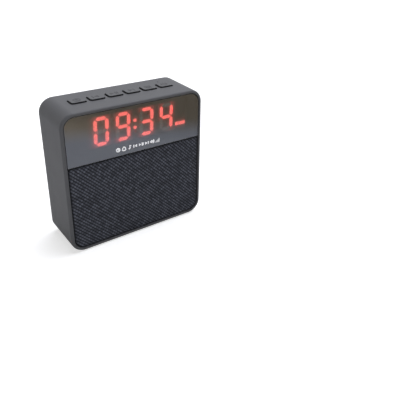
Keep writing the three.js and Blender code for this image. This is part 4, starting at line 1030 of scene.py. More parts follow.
class Finishes(Enum):
    """The finishes of this clock."""

    CASE = Finish(
        "soft_touch_grey", (0.09, 0.0908, 0.095), 0.05, (0.5, 0.62), 0.00028, 0.00002, specular=0.35)
    KEY = Finish(
        "soft_touch_keys", (0.088, 0.0888, 0.093), 0.06, (0.48, 0.6), 0.00028, 0.00002, specular=0.35)
    # Dark signs: on the keys this dark colour is painted shade, standing for the shade of embossed signs.
    SIGN = Finish("dark_sign", (0.028, 0.028, 0.031), 0.1, (0.5, 0.65), 0.0002, 0.000005)
    BLACK = Finish("black_plastic", (0.012, 0.012, 0.014), 0.15, (0.4, 0.55))
    LENS = LensFinish("smoked_lens", (0.03, 0.03, 0.031), 0.03, (0.02, 0.05), 0.0008, patch=0.03)
    # Near-black valleys: painted shade in the hollows of the weave.
    CLOTH = ClothFinish(
        "grille_twill", (0.003, 0.003, 0.004), roughness=(0.75, 0.95), relief=0.00008, sheen=0.08,
        specular=0.15, crest=(0.185, 0.197, 0.239), attribute="weave")
    RUBBER = Finish("foot_rubber", (0.016, 0.016, 0.017), 0.15, (0.75, 0.9), 0.0005, 0.00004)
    STEEL = BrushedFinish(
        "plated_steel", (0.62, 0.62, 0.63), 0.08, (0.22, 0.36), metallic=1.0, relief=0.000004)
    WHITE = Finish("white_plastic", (0.78, 0.77, 0.72), 0.04, (0.35, 0.5))
    KNOB = Finish("switch_knob_grey", (0.12, 0.12, 0.13), 0.07, (0.4, 0.55))
    BOARD = BoardFinish("green_board", (0.012, 0.075, 0.025), roughness=(0.35, 0.5), relief=0.00003)
    # Unlit bars with a faint glow: painted light, for light scattered from the lit bars.
    UNLIT = LitFinish("unlit_bars_painted_glow", (0.9, 0.84, 0.78), 0.08, (0.4, 0.6), patch=0.004, strength=1.4)
    FACE = GlowFinish("display_face", (0.03, 0.03, 0.032), 0.1, (0.5, 0.7), strength=5.5)
    LIT = LitFinish("lit_bars", (1.0, 0.14, 0.12), 0.05, (0.4, 0.6), patch=0.004, strength=34.0)
    # White print with a faint glow of its own: painted light on top of its white.
    PRINT = LitFinish("white_print_painted_glow", (0.95, 0.95, 0.95), 0.03, (0.5, 0.7), 0.0002, 0.000005, strength=0.3)
    FERRITE = Finish("ground_ferrite", (0.022, 0.022, 0.024), 0.25, (0.65, 0.85), 0.0004, 0.00005)
    PAPER = Finish("pressed_paper", (0.02, 0.02, 0.021), 0.3, (0.8, 0.95), 0.0012, 0.0001, 0.004)
    COPPER = WoundFinish(
        "enamelled_wire", (0.45, 0.16, 0.06), 0.25, (0.25, 0.5), metallic=1.0, relief=0.00006)
    SPIDER = ClothFinish(
        "resin_cloth", (0.22, 0.12, 0.03), roughness=(0.7, 0.9), relief=0.0001, crest=(0.5, 0.3, 0.1),
        pitch=0.0007)
    CELL = Finish("shrink_wrap_blue", (0.025, 0.11, 0.33), 0.06, (0.2, 0.34), 0.004, 0.0001, 0.02)
    LEAD = Finish("red_jacket", (0.3, 0.018, 0.018), 0.08, (0.35, 0.5), 0.0006, 0.00002)
    LIGHT = ClearFinish("water_clear", (0.95, 0.94, 0.92), 0.02, (0.05, 0.12), 0.0006)


class Paints:
    """Makes each finish once and puts it on pieces."""

    def __init__(self) -> None:
        """Starts with no material made."""
        self.made: dict[Finishes, Material] = {}

    def dress(self, piece: Object, finish: Finishes) -> None:
        """Gives the whole piece one finish, which is made on its first use.

        Args:
            piece: The piece.
            finish: Its finish.
        """
        if finish not in self.made:
            self.made[finish] = finish.value.build()
        piece.data.materials.clear()
        piece.data.materials.append(self.made[finish])

    def enrol(
            self, piece: Object, finish: Finishes, body: str, slot: str, nodes: Sequence[str] = (),
            flat: bool = False) -> None:
        """Dresses a piece, ties it to its body and hides the solids that it stands for.

        Args:
            piece: The finished piece.
            finish: Its finish.
            body: Body that it moves with. The wedges of the surround and the spider have none here.
            slot: Not used.
            nodes: Solids that it replaces.
            flat: Keeps flat faces flat beside rounded edges, because large faces lead the shading.
        """
        if flat:
            step = piece.modifiers.new("shading", "WEIGHTED_NORMAL")
            step.mode, step.weight, step.keep_sharp = "FACE_AREA", NORMAL_WEIGHT, True
        self.dress(piece, finish)
        if body:
            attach(piece, body)
        if nodes:
            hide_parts(*nodes)
        LOG.info("%s: %d faces, on %s", piece.name, len(piece.data.polygons), body or "two bodies")


@dataclass
class Assembly:
    """Sub-assembly of the clock, which dresses its pieces with the paints."""

    paints: Paints


@dataclass
class Housing(Assembly):
    """Case, feet and port plate."""

    half_width: float = 53.0
    bottom: float = 0.6
    top: float = 103.0
    half_depth: float = 19.0
    corner: float = 10.0
    wall: float = 2.2
    rear_wall: float = 2.4
    front_round: float = 1.6
    rear_round: float = 2.6
    lip_round: float = 0.25
    front_steps: int = 8
    rear_steps: int = 10
    lip_steps: int = 3
    rib_pitch: float = 1.92
    rib_samples: int = 8
    rib_height: float = 0.2
    corner_steps: int = 33
    field_border: float = 0.9
    field_step: float = 0.25
    field_slope: float = 0.45
    border_reach: float = 1.15
    border_columns: int = 9
    field_reach: float = 0.9
    field_columns: int = 7
    hole_flare: float = 0.25
    light_hole: Triple = (38.0, 96.7, 1.2)
    sound_hole: Triple = (33.0, 9.3, 0.55)
    sound_flare: float = 0.15
    foot_left: float = 30.0
    foot_width: float = 12.0
    foot_length: float = 26.0
    foot_height: float = 1.4
    foot_corner: float = 3.0
    foot_round: float = 0.35
    foot_gap: float = 0.3
    seat_gap: float = 0.05
    plate_middle: float = 0.5
    plate_width: float = 63.0
    plate_low: float = 85.0
    plate_high: float = 99.4
    plate_face: float = 18.7
    plate_gap: float = 0.4
    plate_corner: float = 0.8
    plate_round: float = 0.2
    flange: tuple[float, float, float, float] = (-32.4, 33.4, 83.6, 100.5)
    flange_front: float = 15.35
    flange_rear: float = 16.55
    flange_corner: float = 0.5
    boss_x: float = 45.0
    boss_z: Span = (8.6, 95.0)
    boss_radius: float = 3.5
    boss_sides: int = 32
    boss_front: float = -14.1
    boss_length: float = 11.0
    gusset: float = 2.4
    gusset_corner: float = 0.1
    ledge: tuple[float, float, float, float] = (3.0, 12.0, 86.35, 90.55)
    ledge_inner: float = 37.0
    inner_corner: float = 0.3
    saddle_x: float = 16.0
    saddle_width: float = 3.0
    saddle_half: float = 9.2
    saddle_front: float = 5.7
    cell_place: Span = (7.7, 73.6)
    cell_seat: float = 7.4
    seat_sides: int = 56
    buried: float = 0.5

    @property
    def wall_root(self) -> float:
        """Distance from the middle to a place inside a side wall, where pieces that stand on it start."""
        return self.half_width - self.wall + self.buried

    def rear_rows(self) -> Array:
        """Heights of the rows of points on the rear face.

        Even rows give each rib the same number of points. Rows at even angles of the corner arcs and even
        rows are added at both ends, because the outline turns fastest there.

        Returns:
            The heights, from low to high.
        """
        low, high = self.bottom + self.rear_round, self.top - self.rear_round
        corner = self.corner - self.rear_round
        even = np.arange(low + corner / 2, high - corner / 2, self.rib_pitch / self.rib_samples)
        bow = corner * (1 - np.sin(quarter(self.corner_steps)))
        rim = np.linspace(0, corner, self.corner_steps + 1)
        rows = np.concatenate([even, low + bow, high - bow, low + rim, high - rim])
        return np.unique(np.round(rows, ROW_DIGITS))

    def rear_columns(self) -> Array:
        """Shares of the half width at the columns of points: close together only near the border.

        Returns:
            The shares, from -1 to 1.
        """
        reach = (self.field_border + self.field_slope) * self.border_reach / self.half_width
        close = 1 - np.linspace(0, 1, self.border_columns) * reach
        wide = np.linspace(-self.field_reach, self.field_reach, self.field_columns)
        return np.unique(np.concatenate([close, -close, wide]))

    def rear_relief(self, x: Array, z: Array) -> Array:
        """Depth of the rear face's ribbed field below the rear of the case.

        The field is a rounded rectangle inside a plain border. The distance inside its edge, divided by the
        slope's width and smoothed, is a share from 0 to 1. It multiplies a step down and a cosine of height.

        Args:
            x: Places across.
            z: Heights.

        Returns:
            One depth for each place.
        """
        inset = self.rear_round + self.field_border
        inside = inside_by(
            x, z, self.half_width - inset, self.bottom + inset, self.top - inset, self.corner - inset)
        share = np.clip(inside / self.field_slope, 0, 1)
        share = share * share * (3 - 2 * share)
        wave = 0.5 - 0.5 * np.cos(2 * np.pi * z / self.rib_pitch)
        return share * (self.field_step + self.rib_height * wave)

    def shell(self) -> Shell:
        """Case as one closed surface.

        The rear face is a grid of heights and shares of the half width. A profile runs from the grid's edge
        round the rear edge, along the outside, round the front rim and along the inside to the inner face of
        the rear wall. It is carried round the points of the grid's edge, along the rounded outline's normals.

        Returns:
            The surface.
        """
        rows, inset = self.rear_rows(), self.rear_round
        half, low, high = self.half_width - inset, self.bottom + inset, self.top - inset
        x = self.rear_columns() * half_widths(rows, half, low, high, (self.corner - inset,) * 2)[:, None]
        z = np.broadcast_to(rows[:, None], x.shape)
        face = placed(x, z, self.half_depth - self.rear_relief(x, z), Plane.FRONT).reshape(-1, 3)
        edge = grid_edge(*x.shape)
        around = face[edge][:, [0, 2]]
        straight = np.array([2 * self.half_width, self.top - self.bottom]) / 2 - self.corner
        from_middle = around - [0, (self.bottom + self.top) / 2]
        normals = unit(from_middle - np.clip(from_middle, -straight, straight))
        turn, front, lip = quarter(self.rear_steps)[1:], quarter(self.front_steps), quarter(self.lip_steps)
        inner = self.rear_round - self.wall
        offsets = np.concatenate([
            self.rear_round * np.sin(turn),
            self.rear_round - self.front_round * (1 - np.cos(front)),
            inner + self.lip_round * (1 - np.sin(lip)),
            [inner],
        ])
        depths = np.concatenate([
            self.half_depth - self.rear_round * (1 - np.cos(turn)),
            -self.half_depth + self.front_round * (1 - np.sin(front)),
            -self.half_depth + self.lip_round * (1 - np.cos(lip)),
            [self.half_depth - self.rear_wall],
        ])
        rings = around + offsets[:, None, None] * normals
        band = placed(rings[..., 0], rings[..., 1], depths[:, None], Plane.FRONT).reshape(-1, 3)
        numbers = np.concatenate([edge, len(face) + np.arange(len(band))])
        sides = numbers[grid_quads(len(depths) + 1, len(edge), wrap_columns=True)]
        quads = np.concatenate([grid_quads(*x.shape)[:, ::-1], sides])
        return Shell(np.concatenate([face, band]), quads, [numbers[-len(edge):]]).outward()

    def bosses(self) -> list[list[Shell]]:
        """Screw bosses behind the front plate, and the webs that join them to the side walls.

        Returns:
            The bosses and the webs.
        """
        front, rear, half = self.boss_front, self.boss_front + self.boss_length, self.gusset / 2
        places = [(side * self.boss_x, side * self.wall_root, z) for side in BOTH for z in self.boss_z]
        rounds = [circle(x, z, self.boss_radius, self.boss_sides) for x, _, z in places]
        posts = [block(outline, front, rear, Plane.FRONT) for outline in rounds]
        webs = [
            block(rectangle(*sorted((x, wall)), z - half, z + half, self.gusset_corner),
                  front + self.buried, rear - self.buried, Plane.FRONT)
            for x, wall, z in places]
        return [posts, webs]

    def ledges(self) -> list[Shell]:
        """Ledges on the side walls, which the main board is screwed to.

        Returns:
            The ledges.
        """
        spans = [sorted((side * self.ledge_inner, side * self.wall_root)) for side in BOTH]
        front, rear, low, high = self.ledge
        outlines = [rectangle(*span, front, rear, self.inner_corner) for span in spans]
        return [block(outline, low, high, Plane.TOP) for outline in outlines]

    def saddles(self) -> list[list[Shell]]:
        """Two ribs on the rear wall that hold the cell, and the round seats to cut out of them.

        Returns:
            The ribs and the seats.
        """
        y, z = self.cell_place
        wall = self.half_depth - self.rear_wall + self.buried
        rise, half = self.saddle_half, self.saddle_width / 2
        rib = rectangle(self.saddle_front, wall, z - rise, z + rise, self.inner_corner)
        seat = circle(y, z, self.cell_seat, self.seat_sides)
        return [
            [block(outline, side * self.saddle_x - reach, side * self.saddle_x + reach, Plane.SIDE)
             for side in BOTH]
            for outline, reach in ((rib, half), (seat, 2 * half))]

    def foot_outline(self, side: int) -> Outline:
        """Outline of a foot under the left or the right of the case."""
        ends = sorted((side * self.foot_left, side * (self.foot_left + self.foot_width)))
        return rectangle(*ends, -self.foot_length / 2, self.foot_length / 2, self.foot_corner)

    def plate_outline(self) -> Outline:
        """Outline of the port plate's visible panel."""
        left, right = (self.plate_middle + side * self.plate_width / 2 for side in BOTH)
        return rectangle(left, right, self.plate_low, self.plate_high, self.plate_corner)

    def build_case(self, key_holes: Sequence[Outline]) -> None:
        """Makes the case with its openings.

        Args:
            key_holes: Outlines of the openings for the keys.
        """
        piece = add_object("case", self.shell())
        ribs, seats = self.saddles()
        for solids in (*self.bosses(), self.ledges(), ribs):
            combine(piece, solids, Operation.JOIN)
        behind = self.half_depth - self.rear_wall - TOOL_REACH
        under = self.top - self.wall - TOOL_REACH
        rear = self.half_depth - self.field_step
        mean_rear = rear - self.rib_height / 2
        seat = self.foot_height + self.seat_gap
        panel = self.plate_outline().grown(self.plate_gap)
        feet = [self.foot_outline(side).grown(self.foot_gap) for side in BOTH]
        combine(piece, [
            hole(circle(*self.light_hole), behind, rear, self.hole_flare, Plane.FRONT),
            hole(circle(*self.sound_hole), under, self.top, self.sound_flare, Plane.TOP),
            hole(panel, behind, mean_rear, self.hole_flare, Plane.FRONT),
            *(hole(outline, under, self.top, self.hole_flare, Plane.TOP) for outline in key_holes),
            *(block(foot, self.bottom - TOOL_REACH, seat, Plane.TOP) for foot in feet),
            *seats,
        ], Operation.CUT)
        self.paints.enrol(piece, Finishes.CASE, "case", "case", ["case_shell"], flat=True)

    def build_feet(self) -> None:
        """Makes the two rubber feet, rounded at their lower edges."""
        profile = plate_profile(self.foot_height, 0.0, self.foot_round)
        for side, name in zip(BOTH, ("foot_left", "foot_right")):
            piece = add_object(name + "_pad", swept(self.foot_outline(side), profile, Plane.TOP))
            self.paints.enrol(piece, Finishes.RUBBER, "case", "rubber", [name], flat=True)

    def build_plate(self, openings: Sequence[Outline]) -> None:
        """Makes the port plate: a panel on a flange, with an opening for each socket.

        Args:
            openings: Outlines of the openings.
        """
        profile = plate_profile(self.flange_rear - self.buried, self.plate_face, self.plate_round)
        piece = add_object("port_panel", swept(self.plate_outline(), profile, Plane.FRONT))
        outline = rectangle(*self.flange, self.flange_corner)
        combine(piece, [block(outline, self.flange_front, self.flange_rear, Plane.FRONT)], Operation.JOIN)
        inner = self.flange_front - TOOL_REACH
        combine(piece, [
            hole(opening, inner, self.plate_face, self.plate_round, Plane.FRONT) for opening in openings
        ], Operation.CUT)
        self.paints.enrol(piece, Finishes.CASE, "case", "case", ["port_plate"], flat=True)


@dataclass
class Keys(Assembly):
    """Six keys in a row on the top of the case."""

    pitch: float = 13.2
    count: int = 6
    width: float = 10.0
    front: float = -3.6
    rear: float = 4.8
    corner: float = 1.6
    gap: float = 0.6
    top: float = 104.0
    edge: float = 0.2
    cap: float = 0.5
    undercut: float = 0.55
    flange_top: float = 100.5
    flange_bottom: float = 99.7
    flange: float = 0.8
    stem: float = 1.6
    stem_bottom: float = 97.3
    stem_sides: int = 28
    sign_height: float = 0.1
    sign_foot: float = 0.02
    sign_size: float = 5.2
    sign_line: float = 0.62
    signs: tuple[Sign, ...] = (Sign.CLOCK, Sign.BACK, Sign.PLAY, Sign.NEXT, Sign.MENU, Sign.POWER)

    def middles(self) -> Array:
        """Places of the keys along the row."""
        return (np.arange(self.count) - (self.count - 1) / 2) * self.pitch

    def outline(self, x: float) -> Outline:
        """Outline of the key at a place."""
        return rectangle(x - self.width / 2, x + self.width / 2, self.front, self.rear, self.corner)

    def holes(self) -> list[Outline]:
        """Outlines of the openings that the keys travel in."""
        return [self.outline(x).grown(self.gap) for x in self.middles()]

    def build(self) -> None:
        """Makes the keys: a cap over a narrower neck, a flange under the case, a stem and a dark sign."""
        face, under = self.top - self.sign_height, self.top - self.cap
        profile = [
            (-self.flange, self.flange_bottom), (-self.flange, self.flange_top),
            (self.undercut, self.flange_top), (self.undercut, under), (self.edge / 2, under),
            *plate_profile(under + self.edge / 2, face, self.edge),
        ]
        maker = SignMaker(self.sign_size, self.sign_line, face - self.sign_foot, self.top, Plane.TOP)
        middle, stem_top = (self.front + self.rear) / 2, self.flange_bottom + self.flange / 2
        for number, (x, sign) in enumerate(zip(self.middles(), self.signs), start=1):
            body = f"key_body_{number}"
            piece = add_object(f"key_cap_{number}", swept(self.outline(x), profile, Plane.TOP))
            stem = circle(x, middle, self.stem, self.stem_sides)
            combine(piece, [block(stem, self.stem_bottom, stem_top, Plane.TOP)], Operation.JOIN)
            self.paints.enrol(piece, Finishes.KEY, body, "key", [f"key_{number}"], flat=True)
            # The sign stands a little proud and is dark: painted shade of an embossed sign.
            printed = fused(f"key_sign_{number}", maker.sign(sign, x, middle))
            self.paints.enrol(printed, Finishes.SIGN, body, "black_plastic")


@dataclass
class Front(Assembly):
    """Lens over the display, and the cloth of the loudspeaker below it."""

    half_width: float = 50.5
    corner: float = 7.5
    face: float = -18.6
    lens_rear: float = -16.6
    lens_low: float = 65.95
    lens_high: float = 100.5
    lens_low_corner: float = 0.8
    lens_round: float = 0.4
    cloth_low: float = 3.1
    cloth_high: float = 65.65
    cloth_top_corner: float = 2.6
    cloth_rear: float = -18.0
    cloth_edge: float = 1.7
    cloth_drop: float = 0.45
    cloth_step: float = 0.3
    edge_rows: int = 6
    corner_steps: int = 23
    relief: float = 0.28
    stripe_pitch: float = 1.9
    cross_pitch: float = 2.13
    rib_power: float = 1.4
    float_share: float = 0.6
    float_low: float = 0.45
    chance_rates: Triple = (12.9898, 78.233, 437.585)
    print_size: float = 3.2
    print_line: float = 0.74
    print_low: float = -18.6
    print_high: float = -18.63
    print_row: float = 70.7
    print_first: float = -14.9
    print_pitch: float = 4.35
    prints: tuple[Sign, ...] = (
        Sign.CLOCK, Sign.BELL, Sign.NOTE, Sign.BACK, Sign.PLAY, Sign.NEXT, Sign.SOUND, Sign.LEVEL)

    def chance(self, first: Array, second: Array | float = 0.0) -> Array:
        """Number between 0 and 1 that looks random: the fraction of a large sine of two running numbers."""
        first_rate, second_rate, size = self.chance_rates
        return np.abs(np.modf(np.sin(first * first_rate + second * second_rate) * size)[0])

    def weave(self, x: Array, z: Array) -> Array:
        """Height of the twill from 0 in its valleys to 1 on its crests.

        Ribs follow the absolute cosine of x plus z, so they fall from upper left to lower right. A weaker
        absolute cosine of x minus z parts each rib into short floats, which start at a place of their own on
        every rib. Each float has a height of its own. Both come from the sine of running numbers.

        Args:
            x: Places across.
            z: Heights.

        Returns:
            One height for each place.
        """
        root = np.sqrt(2.0)
        along, across = (x + z) / (self.stripe_pitch * root), (x - z) / (self.cross_pitch * root)
        rib = np.round(along)
        across = across + self.chance(rib)
        ribs, floats = (np.abs(np.cos(np.pi * turns)) for turns in (along, across))
        own = self.float_low + (1 - self.float_low) * self.chance(rib, np.round(across))
        return ribs ** self.rib_power * (1 - self.float_share + self.float_share * floats) * own

    def cloth_grid(self) -> tuple[Array, Array]:
        """Grid of points over the cloth, even inside and closer near the edge and round the lower corners.

        Returns:
            Places across and heights, by row and column.
        """
        low, high, edge = self.cloth_low, self.cloth_high, self.cloth_edge
        fine = np.linspace(0, edge, self.edge_rows)
        bow = self.corner * (1 - np.cos(quarter(self.corner_steps)))
        even = np.arange(low + edge, high - edge, self.cloth_step)
        rows = np.unique(np.round(np.concatenate([even, low + fine, high - fine, low + bow]), ROW_DIGITS))
        border = edge / self.half_width
        shares = np.arange(-1 + border, 1 - border, self.cloth_step / self.half_width)
        near = 1 - fine / self.half_width
        columns = np.unique(np.round(np.concatenate([shares, near, -near]), SHARE_DIGITS))
        corners = (self.corner, self.cloth_top_corner)
        x = columns * half_widths(rows, self.half_width, low, high, corners)[:, None]
        return x, np.broadcast_to(rows[:, None], x.shape)

    def cloth_shell(self) -> tuple[Shell, Array]:
        """Cloth as a closed sheet.

        Its front is a grid of heights and shares of the half width, behind the face by the relief times one
        less the weave's height, and near the edge by a quarter ellipse too. The back is flat.

        Returns:
            The surface, and the weave's height at each point of its front.
        """
        x, z = self.cloth_grid()
        lower = z < (self.cloth_low + self.cloth_high) / 2
        corner = np.where(lower, self.corner, self.cloth_top_corner)
        inside = inside_by(x, z, self.half_width, self.cloth_low, self.cloth_high, corner)
        share = np.clip(inside / self.cloth_edge, 0, 1)
        crest = self.weave(x, z) * share
        drop = self.cloth_drop * (1 - np.sqrt(np.clip(1 - (1 - share) ** 2, 0, 1)))
        y = self.face + drop + self.relief * (1 - crest) * share
        return slab(placed(x, z, y, Plane.FRONT), self.cloth_rear), crest

    def build_cloth(self) -> None:
        """Makes the woven cloth, stretched over the frame of the grille."""
        shell, crest = self.cloth_shell()
        piece = add_object("grille_twill", shell)
        # The weave's height also sets the painted shade in the cloth's valleys.
        keep_values(piece, "weave", crest)
        self.paints.enrol(piece, Finishes.CLOTH, "case", "cloth", ["grille_cloth"])

    def build_lens(self) -> None:
        """Makes the smoked lens, rounded at its front edge, and the white signs printed on it."""
        radii = (self.lens_low_corner, self.lens_low_corner, self.corner, self.corner)
        outline = rectangle(-self.half_width, self.half_width, self.lens_low, self.lens_high, radii)
        profile = plate_profile(self.lens_rear, self.face, self.lens_round)
        piece = add_object("smoked_lens", swept(outline, profile, Plane.FRONT))
        self.paints.enrol(piece, Finishes.LENS, "case", "lens", ["display_lens"], flat=True)
        maker = SignMaker(self.print_size, self.print_line, self.print_low, self.print_high, Plane.FRONT)
        printed = fused("lens_print", [
            solid for number, sign in enumerate(self.prints)
            for solid in maker.sign(sign, self.print_first + number * self.print_pitch, self.print_row)
        ])
        self.paints.enrol(printed, Finishes.PRINT, "case", "white_plastic")


@dataclass(frozen=True)
class Bar:
    """One lit or unlit part of the display: its solid and the two ends of its middle line."""

    solid: Shell
    ends: Array


@dataclass
class Display(Assembly):
    """Plate of bars behind the lens, which shows a time.

    The bars of a digit have their usual letters, clockwise from the top with the middle one last. Each is
    placed by shares of half the digit's width and height, and stands upright or lies level.
    """

    half_width: float = 41.0
    low: float = 74.225
    high: float = 97.025
    face: float = -14.7
    back: float = -14.1
    bar_face: float = -15.1
    digit_height: float = 20.2
    digit_places: tuple[float, ...] = (-24.71, -8.94, 8.94, 24.71)
    digit_width: float = 10.575
    bar_width: float = 2.38
    bar_gap: float = 0.45
    bar_round: float = 0.15
    bar_corner: float = 0.1
    bar_steps: int = 3
    sunk: float = 0.1
    slant: float = 0.035
    plate_step: float = 0.4
    glow_reach: float = 1.3
    dot_rises: Span = (-2.6, 2.6)
    dot_sides: int = 28
    mark_left: float = 32.2
    mark_right: float = 40.4
    mark_rise: float = 3.0
    mark_corner: float = 0.3
    least_length: float = 1e-9
    bars: tuple[tuple[str, float, float, bool], ...] = (
        ("a", 0, 1, False), ("b", 1, 0.5, True), ("c", 1, -0.5, True), ("d", 0, -1, False),
        ("e", -1, -0.5, True), ("f", -1, 0.5, True), ("g", 0, 0, False))
    shown: tuple[str, ...] = ("abcdef", "abcdfg", "abcdg", "bcfg")

    @property
    def middle(self) -> float:
        """Height of the middle of the display."""
        return (self.low + self.high) / 2

    def raised(self, outline: Outline) -> Shell:
        """Solid that stands out of the face plate, with rounded edges."""
        profile = plate_profile(self.face + self.sunk, self.bar_face, self.bar_round, self.bar_steps)
        return swept(outline, profile, Plane.FRONT)

    def bar(self, x: float, z: float, half: float, upright: bool) -> Bar:
        """Six-sided bar with rounded edges, leaning as the digits do.

        Args:
            x: Middle along the row.
            z: Middle in height.
            half: Half its length.
            upright: Whether it stands.

        Returns:
            The bar.
        """
        end, thick = half - self.bar_gap, self.bar_width / 2
        corners = np.array([(-end, 0), (thick - end, -thick), (end - thick, -thick), (end, 0),
                            (end - thick, thick), (thick - end, thick)])
        if upright:
            corners = np.stack([-corners[:, 1], corners[:, 0]], 1)
        corners = corners + [x, z]
        corners[:, 0] += (corners[:, 1] - self.middle) * self.slant
        return Bar(self.raised(rounded_polygon(corners, self.bar_corner, self.bar_steps)), corners[[0, 3]])

    def digit(self, x: float) -> dict[str, Bar]:
        """Seven bars of a digit at a place along the row, by their letters.

        Args:
            x: Middle of the digit.

        Returns:
            The bars.
        """
        side, reach = (self.digit_width - self.bar_width) / 2, (self.digit_height - self.bar_width) / 2
        halves = {False: side, True: reach / 2}
        return {
            letter: self.bar(x + across * side, self.middle + up * reach, halves[upright], upright)
            for letter, across, up, upright in self.bars}

    def dots(self) -> list[Bar]:
        """Two round dots between the hours and the minutes."""
        places = [np.array([rise * self.slant, self.middle + rise]) for rise in self.dot_rises]
        return [
            Bar(self.raised(circle(*place, self.bar_width / 2, self.dot_sides)), np.stack([place, place]))
            for place in places]

    def mark(self) -> Bar:
        """Small level bar at the right of the row.

        Returns:
            The bar.
        """
        z, half = self.middle - self.digit_height / 2 + self.mark_rise, self.bar_width / 2
        outline = rectangle(self.mark_left, self.mark_right, z - half, z + half, self.mark_corner)
        return Bar(self.raised(outline), np.array([(self.mark_left + half, z), (self.mark_right - half, z)]))

    def plate(self, lit: Sequence[Bar]) -> tuple[Shell, Array]:
        """Face plate as a closed slab with a fine grid on its front.

        The light at a point of the grid falls off exponentially with its distance from the side of the
        nearest lit bar. That is the distance from the bar's middle line, less half the bar's width.

        Args:
            lit: The bars that glow.

        Returns:
            The slab, and the share of light at each point of its front.
        """
        x = np.linspace(-self.half_width, self.half_width, int(2 * self.half_width / self.plate_step) + 1)
        z = np.linspace(self.low, self.high, int((self.high - self.low) / self.plate_step) + 1)
        across, up = np.meshgrid(x, z)
        starts, stops = np.stack([bar.ends for bar in lit], 1)
        along = stops - starts
        reached = np.stack([across, up], -1).reshape(-1, 1, 2) - starts
        length = np.maximum(np.sum(along * along, -1), self.least_length)
        share = np.clip(np.sum(reached * along, -1) / length, 0, 1)
        apart = np.linalg.norm(reached - share[..., None] * along, axis=-1).min(1) - self.bar_width / 2
        glow = np.exp(-np.maximum(apart, 0) / self.glow_reach)
        return slab(placed(across, up, self.face, Plane.FRONT), self.back), glow

    def build(self) -> None:
        """Makes the dark face plate, the unlit bars with a faint painted glow, and the lit bars."""
        lit, unlit = [*self.dots(), self.mark()], []
        for place, letters in zip(self.digit_places, self.shown):
            for letter, bar in self.digit(place).items():
                (lit if letter in letters else unlit).append(bar)
        face, glow = self.plate(lit)
        plate = add_object("display_plate", face)
        keep_values(plate, "glow", glow)
        self.paints.enrol(plate, Finishes.FACE, "case", "black_plastic", ["segment_plate"])
        for name, bars, finish in (("lit_bars", lit, Finishes.LIT), ("unlit_bars_painted_glow", unlit, Finishes.UNLIT)):
            piece = add_object(name, together([bar.solid for bar in bars]))
            self.paints.enrol(piece, finish, "case", "segments", ["segment_plate"])


